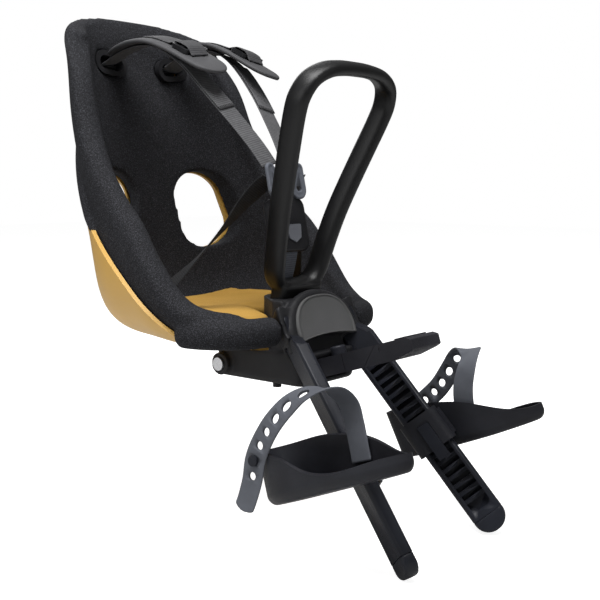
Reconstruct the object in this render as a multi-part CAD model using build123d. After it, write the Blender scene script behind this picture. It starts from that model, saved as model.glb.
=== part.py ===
# Front child seat for a bicycle: foam bucket in a hard outer shell, harness, grab loop, carrier with
# a stem clamp, and two ladder legs with sliding footrests. Millimetres, +Z up, child facing -Y.
# The origin is the centre of the stem clamp, on the mid-plane. +X is the child's left.
from build123d import *
import math
import os

# Seat bucket: side view of the mid-plane
BACK_RECLINE = 8.7
BACK_FOOT_Y = 283.0
BACK_FOOT_Z = 80.0
PAN_TOP_Z = 30.0
FOAM = 16.0
RIM = 28.0
RIM_BULGE = 10.0
CORNER_SHARPNESS = 11.0
# Section planes fan out from a cross axis inside the bucket
FAN_Y = 120.0
FAN_Z = 210.0
# Each station is a rim point: outer half width, rim crest y and z, and squareness of the section
RIM_STATIONS = [
    (113.0, 297.0, 328.0, 2.2),
    (123.0, 281.0, 302.0, 2.1),
    (133.0, 260.0, 252.0, 2.0),
    (141.0, 229.0, 194.0, 2.0),
    (143.0, 200.0, 158.0, 2.1),
    (146.0, 177.5, 138.0, 3.0),
    (149.0, 158.0, 114.0, 4.4),
    (148.5, 140.0, 90.0, 5.2),
    (141.0, 114.0, 62.0, 5.0),
    (123.0, 87.0, 52.0, 4.0),
    (110.0, 74.0, 48.0, 4.0),
]
TOP_ROUND = 5.0
TOP_TURN = 1.6
# Front lip of the foam, a rounded bar round the front of the seat
LIP_SIDE_X = 126.0
LIP_Y = 59.0
LIP_WIDTH = 28.0
LIP_TOP_Z = 45.0
LIP_RADIUS = 60.0
LIP_END_Y = 121.0

# Hard outer shell
SHELL = 3.0
SHELL_GAP = 1.4
SHELL_TOP_STATION = 1
SHELL_LEAST_REACH = 0.12
SHELL_EDGE_DROP = [40.0, 40.0, 44.0, 44.0, 38.0, 36.0, 33.0, 30.0, 26.0, 22.0, 20.0]

# Vents in the back
VENT_WIDTH = 68.0
VENT_HEIGHT = 92.0
VENT_RADIUS = 31.0
VENT_X = 66.0
VENT_Z = 143.0
VENT_LEAN = 9.0

# Gap in the front of the seat round the carrier's nose
NOSE_HALF_WIDTH = 44.0
NOSE_BACK_Y = 118.0
NOSE_TIP_HALF_WIDTH = 20.0
NOSE_TAPER_Y = 76.0
NOSE_TOP_Z = 58.0
GAP_CLEARANCE = 20.0
GAP_BACK_CLEARANCE = 5.0

# Seat pad
PAD_THICKNESS = 10.0
PAD_LIFT = 1.8
PAD_FIRST_STATION = 5
PAD_HALF_WIDTHS = [74.0, 92.0, 100.0, 100.0, 88.0]
PAD_NOTCH_HALF_WIDTH = 46.0
PAD_NOTCH_FRONT_Y = 78.0
PAD_NOTCH_BACK_Y = 142.0

# Strap slots and their grommets
SLOT_X = 47.0
SLOT_Z = 309.0
SLOT_TURN = 7.0
SLOT_LIFT = 2.5
RING_WIDTH = 46.0
RING_HEIGHT = 27.0
RING_WALL = 4.0
RING_PROUD = 3.0
RING_SEAT = 4.0
RING_FIT = 0.15
RING_DEPTH = 11.0
STRAP_BAR_RADIUS = 2.5

# Harness
STRAP_STEPS = 3
WEB_WIDTH = 25.0
WEB = 2.0
PADDLE_WIDTH = 46.0
PADDLE = 6.0
PADDLE_GAP = 0.8
TONGUE = 3.0
TONGUE_WIDTH = 22.0
TONGUE_LENGTH = 34.0
TONGUE_X = 12.5
TONGUE_BLADE = 11.0
TONGUE_BLADE_WIDTH = 15.0
TONGUE_GAP = 1.0
BUCKLE_Y = 94.0
BUCKLE_Z = 132.0
BUCKLE_WIDTH = 50.0
BUCKLE_HEIGHT = 58.0
BUCKLE_DEPTH = 17.0
BUTTON_SIZE = 20.0
BUTTON_TRAVEL = 3.0
BUTTON_FIT = 0.3
BUTTON = 5.0
BUTTON_PROUD = 1.2
BUTTON_RISE = -8.0
BUCKLE_LEAN = 12.0
ADJUSTER_LENGTH = 24.0
ADJUSTER = 4.5
ADJUSTER_FROM_BEND = 14.0
LAP_SLOT = 1.0
CROTCH_SLOT = 0.5

# Grab loop
LOOP_Y = 73.0
LOOP_Z = 63.0
LOOP_LEAN = 15.2
LOOP_HEIGHT = 238.0
LOOP_HALF_WIDTH = 76.0
LOOP_DEPTH = 33.0
LOOP_BAR = 22.0
LOOP_TOP_RADIUS = 55.0
LOOP_FOOT_RADIUS = 25.0
POST_WIDTH = 30.0
POST_DEPTH = 24.0
POST_LENGTH = 26.0
POST_FIT = 0.2
POST_BACK = 4.5

# Carrier
CARRIER_HALF_WIDTH = 46.0
CARRIER_BACK_Y = 160.0
CARRIER_FRONT_Y = 33.0
CARRIER_BOTTOM_Z = -28.0
CARRIER_ROUND = 6.0
CARRIER_DROP = 4.0
BOSS_RADIUS = 10.0
AXLE_Y = 143.0
AXLE_Z = -14.0
AXLE_RADIUS = 5.0
AXLE_HALF_LENGTH = 55.5
AXLE_HEAD_RADIUS = 7.0
LUG_RADIUS = 12.0
LUG_END_X = 53.0
COVER_TOP = (60.0, 59.0)
COVER_FOOT = (44.0, 18.0)
COVER = 4.0
COVER_BORDER = 3.0
COVER_HALF_WIDTH = 33.0
COVER_FIT = 0.2
COVER_SIDE = 16.0
COVER_HOLLOW = 5.0
NUB_RADIUS = 4.5
NUB_HEIGHT = 6.0
NUB_X = 30.0
NUB_Y = 82.0
BOLT_RADIUS = 3.0
BOLT_HEAD_RADIUS = 6.0
BOLT_HEAD = 3.5
BOLT_LENGTH = 24.0
BOLT_X = 30.0
BOLT_YS = (126.0, 154.0)
WASHER_RADIUS = 8.0
WASHER = 1.2
WASHER_LIFT = 0.4

# Legs
LEG_TOP_X = 49.0
LEG_TOP_Y = 42.0
LEG_TOP_Z = 19.5
LEG_TILT = 40.0
LEG_SPLAY = 7.15
LEG_LENGTH = 252.0
LEG_TURN = 30.0
LEG_WIDTH = 34.0
LEG_THICKNESS = 14.0
LEG_EDGE = 4.0
LEG_CAP_LENGTH = 18.0
ROOT_LENGTH = 24.0
ROOT_INSET = 4.0
ROOT_FIT = 0.15
SHOULDER_WALL = 3.0
SHOULDER_LENGTH = 34.0
CHANNEL_WIDTH = 23.0
CHANNEL_DEPTH = 8.0
CHANNEL_START = 34.0
CHANNEL_END = 8.0
RUNG_PITCH = 9.4
RUNG = 4.4
RUNG_DROP = 2.0

# Footrests
SLEEVE_STEP = 10
SLEEVE_LENGTH = 38.0
SLEEVE_WALL = 4.5
SLEEVE_CLEARANCE = 0.4
SOLE_TILT = 17.6
# Footbed outline as (along the foot, out from the leg), heel first, and the rim height along both walls
CUP_OUTLINE = [(-66, 38), (-58, 19), (-40, 11.8), (0, 11.5), (44, 13), (84, 24), (108, 42),
               (86, 58), (40, 68), (-10, 69), (-46, 63), (-61, 52)]
CUP_INNER_RIM = [(-80, 31), (-40, 31), (11, 31), (42, 23), (65, 10), (79, 0), (115, -12)]
CUP_OUTER_RIM = [(-80, 25), (-44, 20), (-19, 8.5), (3, -9), (29, -18), (67, -16), (115, -9)]
CUP_OUT = 8.0
CUP_WALL = 3.0
CUP_FLOOR = -26.0
CUP_HEIGHT = 62.0
CUP_BOTTOM_ROUND = 9.0
# Rounding of the cup's bottom as (rise, inset), both as shares of the round
CUP_ROUNDING = [(0.0, 1.0), (0.15, 0.5), (0.45, 0.2), (1.0, 0.0)]
LATCH_WIDTH = 13.0
LATCH_LENGTH = 18.0
LATCH_FIT = 0.3
LATCH_TAB = 12.0
LATCH_TAB_THICKNESS = 2.5
LATCH_BITE = 2.5
FOOT_STRAP_WIDTH = 19.0
FOOT_STRAP = 2.4
STRAP_HOLE = 6.0
STUD_RADIUS = 2.6
STUD_HEAD_RADIUS = 5.0
STUD_HEAD = 2.5
STUD_LENGTH = 12.0

# Stem clamp
STEM_RADIUS = 14.3
STEM_LEAN = 17.5
SHIM = 2.0
CLAMP_HALF_WIDTH = 25.0
CLAMP_HEIGHT = 19.0
CLAMP_BACK_U = -43.0
CLAMP_SEAM_LOW_U = 23.0
CLAMP_SEAM_HIGH_U = 42.0
CLAMP_SPLIT = 0.6
CLAMP_SEAT = 0.3
LEVER_END_U = 84.0
LEVER_GAP = 0.5
LEVER_PIN_U = 48.0
LEVER_PIN_W = 4.2
LEVER_PIN_RADIUS = 2.5
KNUCKLE_RADIUS = 5.0
KNUCKLE_HALF_WIDTH = 9.0
KNUCKLE_ROOT = 8.0
KNUCKLE_DROP = 4.0
KNUCKLE_CLEARANCE = 1.0
KNUCKLE_SIDE_CLEARANCE = 0.4
LEVER_RIBS = 3
LEVER_BLOCK_U = 58.0
LEVER_RIB_RISE = 1.2
LEVER_LIP = 4.0
LEVER_CHAMFER = 6.0
LEVER_ROUND = 1.8
CLAMP_BOLT_X = 20.7
CLAMP_BOLT_RADIUS = 2.2
CLAMP_BOLT_DEPTH = 16.0
KNOB_RADIUS = 8.0
KNOB_HEIGHT = 9.0
KNOB_U = -22.0

RUNNING_FIT = 0.05
# Reach of cuts that go right through
FAR = 800.0


def export(node, shape):
    export_step(shape, f"parts/{node}.step")


def export_pair(name, left_shape):
    """Writes the piece on the child's left and its mirror image on the right."""
    export(f"{name}_left", left_shape)
    export(f"{name}_right", mirror(left_shape, Plane.YZ))


def sin_deg(angle):
    return math.sin(math.radians(angle))


def cos_deg(angle):
    return math.cos(math.radians(angle))


# Bucket sections

def back_point(height):
    """Front face of the backrest on the mid-plane at a height, as (y, z)."""
    return BACK_FOOT_Y + (height - BACK_FOOT_Z) * math.tan(math.radians(BACK_RECLINE)), height


def outside_radius(angle):
    """Distance from the fan axis to the outside of the foam, with back and pan blended at the corner."""
    along_y, along_z = cos_deg(angle), sin_deg(angle)
    back_y = BACK_FOOT_Y + FOAM / cos_deg(BACK_RECLINE)
    toward_back = along_y * cos_deg(BACK_RECLINE) - along_z * sin_deg(BACK_RECLINE)
    reach_back = (back_y - FAN_Y) * cos_deg(BACK_RECLINE) - (BACK_FOOT_Z - FAN_Z) * sin_deg(BACK_RECLINE)
    inverse = 0.0
    if toward_back > 0:
        inverse += (toward_back / reach_back) ** CORNER_SHARPNESS
    if along_z < 0:
        inverse += (-along_z / (FAN_Z - PAN_TOP_Z + FOAM)) ** CORNER_SHARPNESS
    return inverse ** (-1 / CORNER_SHARPNESS)


def fan_plane(angle):
    """Section plane at an angle, with local x across the seat and local y away from the fan axis."""
    return Plane((0, FAN_Y, FAN_Z), x_dir=(1, 0, 0), z_dir=(0, -sin_deg(angle), cos_deg(angle)))


def arc_of_u(half_width, depth, radius, squareness, last=math.pi / 2, steps=8):
    """Points of half a superellipse, from the left side round the bottom to the right side."""
    points = []
    for step in range(-steps, steps + 1):
        turn = step / steps * last
        across = math.copysign(half_width * abs(math.sin(turn)) ** (2 / squareness), turn)
        points.append((across, radius - depth * (1 - math.cos(turn))))
    return points


def half_section(outer, inner, rim_bulge):
    """Left half of the wall between two U shapes, each (half width, depth, radius, squareness)."""
    outer_points = [point for point in arc_of_u(*outer) if point[0] >= 0]
    inner_points = [point for point in arc_of_u(*inner) if point[0] >= 0][::-1]
    edges = [
        Edge.make_spline(outer_points),
        rim_arc(Vector(*outer_points[-1]), Vector(*inner_points[0]), rim_bulge),
        Edge.make_spline(inner_points),
        Edge.make_line(inner_points[-1], outer_points[0]),
    ]
    return Face(Wire(edges))


def rim_arc(start, stop, bulge):
    """Rounded end of the wall at the rim, bulging towards the fan axis."""
    return Edge.make_three_point_arc(start, (start + stop) * 0.5 - Vector(0, bulge), stop)


def outside_u(station, thin=0.0, turn=0.0):
    """Fan angle and outside U of the foam at a station; thin draws it in, turn moves it round the fan."""
    half_width, crest_y, crest_z, squareness = station
    angle = math.degrees(math.atan2(crest_z - FAN_Z, crest_y - FAN_Y)) + turn
    crest = math.hypot(crest_y - FAN_Y, crest_z - FAN_Z)
    radius = outside_radius(angle) - thin
    depth = max(radius - crest - RIM_BULGE, FOAM + 2)
    return angle, (half_width - thin, depth, radius, squareness)


def liner_section(station, thin=0.0, turn=0.0):
    """Half section of the foam at a station, made thinner by twice the value thin."""
    angle, outer = outside_u(station, thin, turn)
    half_width, depth, radius, squareness = outer
    wall, rim = FOAM - 2 * thin, RIM - 2 * thin
    inner = (half_width - rim, depth - wall, radius - wall, squareness)
    return fan_plane(angle) * half_section(outer, inner, RIM_BULGE * rim / RIM)


def shell_face(station, edge_drop, thin=0.0, turn=0.0):
    """Thin face hugging the foam's outside, stopping short of the rim by the edge drop."""
    angle, outer = outside_u(station, thin, turn)
    half_width, depth, radius, squareness = outer
    last = math.acos(1 - max(1 - edge_drop / depth, SHELL_LEAST_REACH))
    inner_points = arc_of_u(half_width + SHELL_GAP, depth, radius + SHELL_GAP, squareness, last)[::-1]
    grown = SHELL_GAP + SHELL
    outer_points = arc_of_u(half_width + grown, depth, radius + grown, squareness, last)
    edges = [
        Edge.make_spline(outer_points),
        Edge.make_line(outer_points[-1], inner_points[0]),
        Edge.make_spline(inner_points),
        Edge.make_line(inner_points[-1], outer_points[0]),
    ]
    return fan_plane(angle) * Face(Wire(edges))


def front_lip(grow=0.0):
    """Rounded bar round the front of the seat, swept along the front and round both corners."""
    bottom = PAN_TOP_Z - FOAM + 1
    middle_z = (LIP_TOP_Z + bottom) / 2
    left = [(LIP_SIDE_X, LIP_END_Y), (LIP_SIDE_X, LIP_Y)]
    corners = left + [(-x, y) for x, y in left[::-1]]
    path = FilletPolyline(*[(x, y, middle_z) for x, y in corners], radius=LIP_RADIUS)
    start = Plane(path @ 0, x_dir=(1, 0, 0), z_dir=(0, -1, 0))
    width, height = LIP_WIDTH + 2 * grow, LIP_TOP_Z - bottom + 2 * grow
    return sweep(start * RectangleRounded(width, height, width * 0.45), path=path)


def nose_outline(grow_side=0.0, grow_back=0.0):
    """Plan of the carrier's nose: a wide front that tapers back to a rounded tip between the thighs."""
    wide, tip = NOSE_HALF_WIDTH + grow_side, NOSE_TIP_HALF_WIDTH + grow_side
    back, taper = NOSE_BACK_Y + grow_back, NOSE_TAPER_Y + grow_back
    side = Polyline((wide, CARRIER_FRONT_Y), (wide, taper), (tip, back - tip / 2))
    end = ThreePointArc((tip, back - tip / 2), (0, back), (-tip, back - tip / 2))
    front = CARRIER_FRONT_Y
    other = Polyline((-tip, back - tip / 2), (-wide, taper), (-wide, front), (wide, front))
    return make_face(side + end + other)


def seat_gap():
    """What the front of the seat leaves open round the nose and the leg shoulders."""
    outline = nose_outline(GAP_CLEARANCE, GAP_BACK_CLEARANCE)
    prism = extrude(Plane.XY.offset(CARRIER_BOTTOM_Z) * outline, NOSE_TOP_Z + 60)
    front = Pos(0, CARRIER_FRONT_Y - 30, 0) * Box(2 * (NOSE_HALF_WIDTH + GAP_CLEARANCE), 60, 160)
    return prism + front


def back_plane(x, height):
    """Plane on the front face of the backrest: x across, y up the back, z to the front."""
    y, z = back_point(height)
    return Plane((x, y, z), x_dir=(1, 0, 0), z_dir=(0, -cos_deg(BACK_RECLINE), sin_deg(BACK_RECLINE)))


def vent_cutter(side):
    plane = back_plane(side * VENT_X, VENT_Z)
    outline = Rot(0, 0, side * VENT_LEAN) * RectangleRounded(VENT_WIDTH, VENT_HEIGHT, VENT_RADIUS)
    return extrude(plane * outline, 70, both=True)


def slot_plane():
    """Plane of a grommet, turned to follow the curve of the back."""
    return back_plane(SLOT_X, SLOT_Z).offset(SLOT_LIFT).rotated((0, -SLOT_TURN, 0))


def slot_ring(grow=0.0):
    """Oval grommet: a flange on the foam's face and a neck through it."""
    plane = slot_plane()
    flange = SlotOverall(RING_WIDTH + 2 * grow, RING_HEIGHT + 2 * grow)
    neck = SlotOverall(RING_WIDTH - RING_WALL + 2 * grow, RING_HEIGHT - RING_WALL + 2 * grow)
    head = extrude(plane.offset(-RING_SEAT) * flange, RING_SEAT + RING_PROUD)
    return head + extrude(plane.offset(-RING_DEPTH) * neck, RING_DEPTH - RING_SEAT)


def slot_opening():
    plane = slot_plane()
    opening = SlotOverall(RING_WIDTH - 3 * RING_WALL, RING_HEIGHT - 3 * RING_WALL)
    return extrude(plane.offset(-FOAM - 1) * opening, FOAM + RING_PROUD + 2)


def shell_bolt_points():
    return [(side * BOLT_X, y) for y in BOLT_YS for side in (1, -1)]


SHELL_FLOOR_Z = PAN_TOP_Z - FOAM - SHELL_GAP
CARRIER_TOP_Z = SHELL_FLOOR_Z - SHELL - CARRIER_DROP


def foam_liner():
    top = liner_section(RIM_STATIONS[0], TOP_ROUND, TOP_TURN)
    half = loft([top] + [liner_section(station) for station in RIM_STATIONS])
    body = half + mirror(half, Plane.YZ) + front_lip()
    body -= seat_gap()
    ring = slot_ring(RING_FIT)
    body -= [ring, mirror(ring, Plane.YZ), vent_cutter(1), vent_cutter(-1)]
    lap_slot = lap_strap(LAP_SLOT)
    body -= [lap_slot, mirror(lap_slot, Plane.YZ)]
    for x, y in shell_bolt_points():
        body -= Pos(x, y, PAN_TOP_Z - FOAM / 2) * Cylinder(WASHER_RADIUS + 0.5, 2 * FOAM)
    return body


def outer_shell():
    top = shell_face(RIM_STATIONS[0], SHELL_EDGE_DROP[0], TOP_ROUND, TOP_TURN)
    body = loft([top] + [shell_face(*pair) for pair in zip(RIM_STATIONS, SHELL_EDGE_DROP)])
    top_angle, _ = outside_u(RIM_STATIONS[SHELL_TOP_STATION])
    body -= extrude(fan_plane(top_angle) * Rectangle(FAR, FAR), FAR)
    body -= [front_lip(SHELL_GAP), seat_gap(), vent_cutter(1), vent_cutter(-1)]
    for x, y in shell_bolt_points():
        body -= Pos(x, y, SHELL_FLOOR_Z) * Cylinder(BOLT_RADIUS + RUNNING_FIT, 6 * SHELL)
    return body


def seat_pad():
    """Thin cushion lying on the pan, following its curve, notched at the front round the nose."""
    faces = []
    for index, half_width in enumerate(PAD_HALF_WIDTHS):
        station = RIM_STATIONS[PAD_FIRST_STATION + index]
        angle, (outer_half_width, depth, radius, squareness) = outside_u(station)
        pan_half_width = outer_half_width - RIM
        last = math.asin((half_width / pan_half_width) ** (squareness / 2))
        under = arc_of_u(pan_half_width, depth - FOAM, radius - FOAM - PAD_LIFT, squareness, last)
        over = [(x, r - PAD_THICKNESS) for x, r in under][::-1]
        edges = [
            Edge.make_spline(under),
            Edge.make_line(under[-1], over[0]),
            Edge.make_spline(over),
            Edge.make_line(over[-1], under[0]),
        ]
        faces.append(fan_plane(angle) * Face(Wire(edges)))
    notch = make_face(
        Polyline(
            (PAD_NOTCH_HALF_WIDTH, 0), (PAD_NOTCH_HALF_WIDTH, PAD_NOTCH_FRONT_Y), (0, PAD_NOTCH_BACK_Y),
            (-PAD_NOTCH_HALF_WIDTH, PAD_NOTCH_FRONT_Y), (-PAD_NOTCH_HALF_WIDTH, 0), close=True,
        )
    )
    pad = loft(faces) - extrude(notch, LIP_TOP_Z + PAD_THICKNESS)
    lap_slot = lap_strap(LAP_SLOT)
    return pad - [lap_slot, mirror(lap_slot, Plane.YZ)]


# Straps

def away_from(points, centre):
    """Face directions of a strap that turns its face away from a centre."""
    return [Vector(*point) - Vector(*centre) for point in points]


def smooth(points):
    """Points along a curve through the given points, each step divided evenly (Catmull-Rom)."""
    path = [Vector(*point) for point in points]
    curve = []
    for index in range(len(path) - 1):
        before, start = path[max(index - 1, 0)], path[index]
        stop, after = path[index + 1], path[min(index + 2, len(path) - 1)]
        for step in range(STRAP_STEPS):
            share = step / STRAP_STEPS
            bend = before * 2 - start * 5 + stop * 4 - after
            twist = start * 3 - before - stop * 3 + after
            curve.append(start + ((stop - before) * share + bend * share**2 + twist * share**3) * 0.5)
    return curve + [path[-1]]


def band(points, faces, widths, thickness):
    """Flat strap ruled through rectangles along a path, its face turned to a direction at each point."""
    path = smooth(points)
    if not isinstance(widths, list):
        widths = [widths] * len(points)
    sizes = [size.X for size in smooth([(width, 0, 0) for width in widths])]
    sections = []
    for index, (point, face, width) in enumerate(zip(path, smooth(faces), sizes)):
        before, after = path[max(index - 1, 0)], path[min(index + 1, len(path) - 1)]
        along = (after - before).normalized()
        across = along.cross(face).normalized()
        sections.append(Plane(point, x_dir=across, z_dir=along) * Rectangle(width, thickness))
    return loft(sections, ruled=True)


SHOULDER_PATH = [
    (47, 320, 309), (47, 309, 312.5), (46.5, 290, 320), (46, 262, 325), (45, 235, 323), (43.5, 212, 313),
    (40.5, 190, 296), (36, 165, 270), (28, 140, 242), (20.5, 118, 215), (15, 104, 194),
]
PADDLE_PATH = [
    (47, 303, 320.4), (46.5, 288, 325.4), (46, 262, 329.9), (45.5, 235, 328.4), (44.5, 205, 318.4),
    (43, 172, 302.4), (42, 146, 289.4),
]
PADDLE_WIDTHS = [30.0, 40.0, PADDLE_WIDTH, PADDLE_WIDTH, PADDLE_WIDTH, 42.0, 24.0]
LAP_PATH = [(112, 186, 47), (100, 173, 66), (78, 154, 95), (55, 136, 127), (37, 121, 155), (28, 111, 171)]
CROTCH_PATH = [(0, 88.9, 107), (0, 92.5, 90), (0, 98, 70), (0, 100.5, 50)]
STRAP_CENTRE = (30, 262, 215)
LAP_CENTRE = (0, 195, 95)
CROTCH_CENTRE = (0, 160, 80)


def shoulder_strap():
    return band(SHOULDER_PATH, away_from(SHOULDER_PATH, STRAP_CENTRE), WEB_WIDTH, WEB)


def shoulder_pad():
    return band(PADDLE_PATH, away_from(PADDLE_PATH, STRAP_CENTRE), PADDLE_WIDTHS, PADDLE)


def lap_strap(grow=0.0):
    return band(LAP_PATH, away_from(LAP_PATH, LAP_CENTRE), WEB_WIDTH + 2 * grow, WEB + 2 * grow)


def crotch_strap():
    return band(CROTCH_PATH, away_from(CROTCH_PATH, CROTCH_CENTRE), WEB_WIDTH, WEB)


def strap_bar():
    """Steel bar behind the grommet that holds the end of the shoulder strap."""
    plane = slot_plane().offset(-RING_DEPTH + STRAP_BAR_RADIUS)
    length = RING_WIDTH - 3 * RING_WALL - RING_HEIGHT / 4
    return plane * (Rot(0, 90, 0) * Cylinder(STRAP_BAR_RADIUS, length))


def buckle_plane():
    front = (0, -cos_deg(BUCKLE_LEAN), sin_deg(BUCKLE_LEAN))
    return Plane((0, BUCKLE_Y, BUCKLE_Z), x_dir=(1, 0, 0), z_dir=front)


def tongue():
    """Flat plate with a slot for the webbing and a blade that goes into the buckle."""
    head = Pos(0, TONGUE_LENGTH / 2) * RectangleRounded(TONGUE_WIDTH, TONGUE_LENGTH, 7)
    slot = Pos(0, TONGUE_LENGTH * 0.72) * SlotOverall(TONGUE_WIDTH * 0.7, 5)
    blade = Pos(0, -TONGUE_BLADE / 2) * Rectangle(TONGUE_BLADE_WIDTH, TONGUE_BLADE)
    plate = extrude(head - slot + blade, TONGUE / 2, both=True)
    return buckle_plane().location * (Pos(TONGUE_X, BUCKLE_HEIGHT / 2 + TONGUE_GAP, 0) * plate)


def buckle_body():
    """Rounded housing with two mouths for the tongues and a well for the button."""
    body = extrude(RectangleRounded(BUCKLE_WIDTH, BUCKLE_HEIGHT, 12), BUCKLE_DEPTH / 2, both=True)
    body = fillet(body.edges().filter_by(Plane.XY), 3.5)
    mouth = Box(TONGUE_BLADE_WIDTH + 2 * BUTTON_FIT, 2 * TONGUE_BLADE, TONGUE + 2 * BUTTON_FIT)
    for side in (1, -1):
        body -= Pos(side * TONGUE_X, BUCKLE_HEIGHT / 2, 0) * mouth
    well = extrude(button_outline(BUTTON_FIT), BUCKLE_DEPTH)
    body -= Pos(0, 0, BUCKLE_DEPTH / 2 - BUTTON - BUTTON_TRAVEL) * well
    slot = Box(WEB_WIDTH + 2, 14, WEB + 4)
    body -= Pos(0, -BUCKLE_HEIGHT / 2, 0) * slot
    return buckle_plane().location * body


def button_outline(grow=0.0):
    half = BUTTON_SIZE / 2
    right = [(half, half * 0.6), (half * 0.8, -half * 0.6)]
    left = [(-x, y) for x, y in right[::-1]]
    shape = Polyline(*right, (0, -half), *left, close=True)
    return Pos(0, BUTTON_RISE) * offset(make_face(shape), 1.5 + grow)


def buckle_button():
    body = extrude(button_outline(), BUTTON)
    return buckle_plane().location * (Pos(0, 0, BUCKLE_DEPTH / 2 - BUTTON + BUTTON_PROUD) * body)


def strap_adjuster():
    """Ladder lock on the shoulder pad: a frame with two windows and a cross bar."""
    start, stop = Vector(*PADDLE_PATH[4]), Vector(*PADDLE_PATH[5])
    along = (stop - start).normalized()
    out = (start + stop) * 0.5 - Vector(*STRAP_CENTRE)
    up = (out - along * out.dot(along)).normalized()
    origin = start + along * ADJUSTER_FROM_BEND + up * (PADDLE / 2 + PADDLE_GAP + ADJUSTER / 2)
    frame = extrude(RectangleRounded(WEB_WIDTH + 8, ADJUSTER_LENGTH, 4), ADJUSTER / 2, both=True)
    for side in (1, -1):
        window = Box(WEB_WIDTH + 1, ADJUSTER_LENGTH * 0.26, 2 * ADJUSTER)
        frame -= Pos(0, side * ADJUSTER_LENGTH * 0.22, 0) * window
    return Plane(origin, x_dir=along.cross(up), z_dir=up).location * frame


# Grab loop

def loop_plane():
    """Plane of the loop: local x across, local y up the loop, local z to the back."""
    return Plane((0, LOOP_Y, LOOP_Z), x_dir=(1, 0, 0), z_dir=(0, -cos_deg(LOOP_LEAN), -sin_deg(LOOP_LEAN)))


def loop_path():
    """Closed centre line: a round foot, two legs that spread upwards and a broad rounded top."""
    foot = Vector(0, LOOP_BAR / 2 + LOOP_FOOT_RADIUS)
    top = Vector(LOOP_HALF_WIDTH - LOOP_TOP_RADIUS, LOOP_HEIGHT - LOOP_BAR / 2 - LOOP_TOP_RADIUS)
    reach = top - foot
    lean = math.degrees(math.atan2(reach.X, reach.Y))
    spread = math.degrees(math.asin((LOOP_TOP_RADIUS - LOOP_FOOT_RADIUS) / reach.length))
    side = lean + spread
    low = foot + Vector(cos_deg(side), -sin_deg(side)) * LOOP_FOOT_RADIUS
    high = top + Vector(cos_deg(side), -sin_deg(side)) * LOOP_TOP_RADIUS
    corner = top + Vector(sin_deg(45), cos_deg(45)) * LOOP_TOP_RADIUS
    crown = top + Vector(0, LOOP_TOP_RADIUS)
    flip = [Vector(-v.X, v.Y) for v in (low, high, corner, crown)]
    edges = [
        Edge.make_three_point_arc(flip[0], Vector(0, LOOP_BAR / 2), low),
        Edge.make_line(low, high),
        Edge.make_three_point_arc(high, corner, crown),
        Edge.make_line(crown, flip[3]),
        Edge.make_three_point_arc(flip[3], flip[2], flip[1]),
        Edge.make_line(flip[1], flip[0]),
    ]
    return Wire(edges)


def loop_post(grow=0.0):
    outline = RectangleRounded(POST_WIDTH + 2 * grow, POST_DEPTH + 2 * grow, 6)
    block = extrude(outline, POST_LENGTH + LOOP_BAR / 2)
    return loop_plane().location * (Pos(0, LOOP_BAR / 2, -POST_BACK) * (Rot(90, 0, 0) * block))


def grab_loop():
    path = loop_path()
    start = Plane(path @ 0, x_dir=(0, 0, 1), z_dir=path % 0)
    ring = sweep(start * Ellipse(LOOP_DEPTH / 2, LOOP_BAR / 2), path=path)
    return loop_plane().location * ring + loop_post()


# Carrier, legs and cover

def leg_plane(distance=0.0, turn=LEG_TURN):
    """Plane across the left leg below its top seam, turned about the leg so that the ladder looks forward.
    Local x goes out of the plain face, local y to the front edge and local z down the leg."""
    level = cos_deg(LEG_SPLAY)
    axis = Vector(sin_deg(LEG_SPLAY), -level * sin_deg(LEG_TILT), -level * cos_deg(LEG_TILT))
    front = Vector(0, -cos_deg(LEG_TILT), sin_deg(LEG_TILT))
    top = Vector(LEG_TOP_X, LEG_TOP_Y, LEG_TOP_Z)
    outward = front.cross(axis) * cos_deg(turn) - front * sin_deg(turn)
    return Plane(top + axis * distance, x_dir=outward, z_dir=axis)


def leg_section(grow=0.0):
    return RectangleRounded(LEG_THICKNESS + 2 * grow, LEG_WIDTH + 2 * grow, LEG_EDGE + grow)


def leg_root(grow=0.0):
    thickness = LEG_THICKNESS - ROOT_INSET + 2 * grow
    outline = RectangleRounded(thickness, LEG_WIDTH - 2 * ROOT_INSET + 2 * grow, 2)
    return extrude(outline, -ROOT_LENGTH - grow)


LEG_BODY = LEG_LENGTH - LEG_CAP_LENGTH
SLEEVE_CENTRE = CHANNEL_START + (SLEEVE_STEP + 0.5) * RUNG_PITCH


def leg():
    """Bar with a channel of ladder rungs in its inner face."""
    bar = extrude(leg_section(), LEG_BODY) + leg_root()
    face_x = -LEG_THICKNESS / 2
    length = LEG_BODY - CHANNEL_END - CHANNEL_START
    face = Plane((face_x, 0, CHANNEL_START + length / 2), x_dir=(0, 0, 1), z_dir=(1, 0, 0))
    bar -= extrude(face * RectangleRounded(length, CHANNEL_WIDTH, CHANNEL_WIDTH * 0.3), CHANNEL_DEPTH)
    height = CHANNEL_DEPTH - RUNG_DROP
    for step in range(1, int(length / RUNG_PITCH)):
        centre = (face_x + RUNG_DROP + height / 2, 0, CHANNEL_START + step * RUNG_PITCH)
        bar += Pos(*centre) * Box(height, CHANNEL_WIDTH, RUNG)
    return leg_plane().location * bar


def leg_end_cap():
    """Rounded end of the leg."""
    outline = RectangleRounded(2 * LEG_CAP_LENGTH, LEG_WIDTH, min(LEG_CAP_LENGTH, LEG_WIDTH / 2) - 1)
    plane = Plane((0, 0, LEG_BODY), x_dir=(0, 0, 1), z_dir=(1, 0, 0))
    cap = extrude(plane * outline, LEG_THICKNESS / 2, both=True)
    cap &= extrude(Plane.XY.offset(LEG_BODY) * leg_section(), LEG_CAP_LENGTH)
    return leg_plane().location * cap


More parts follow.
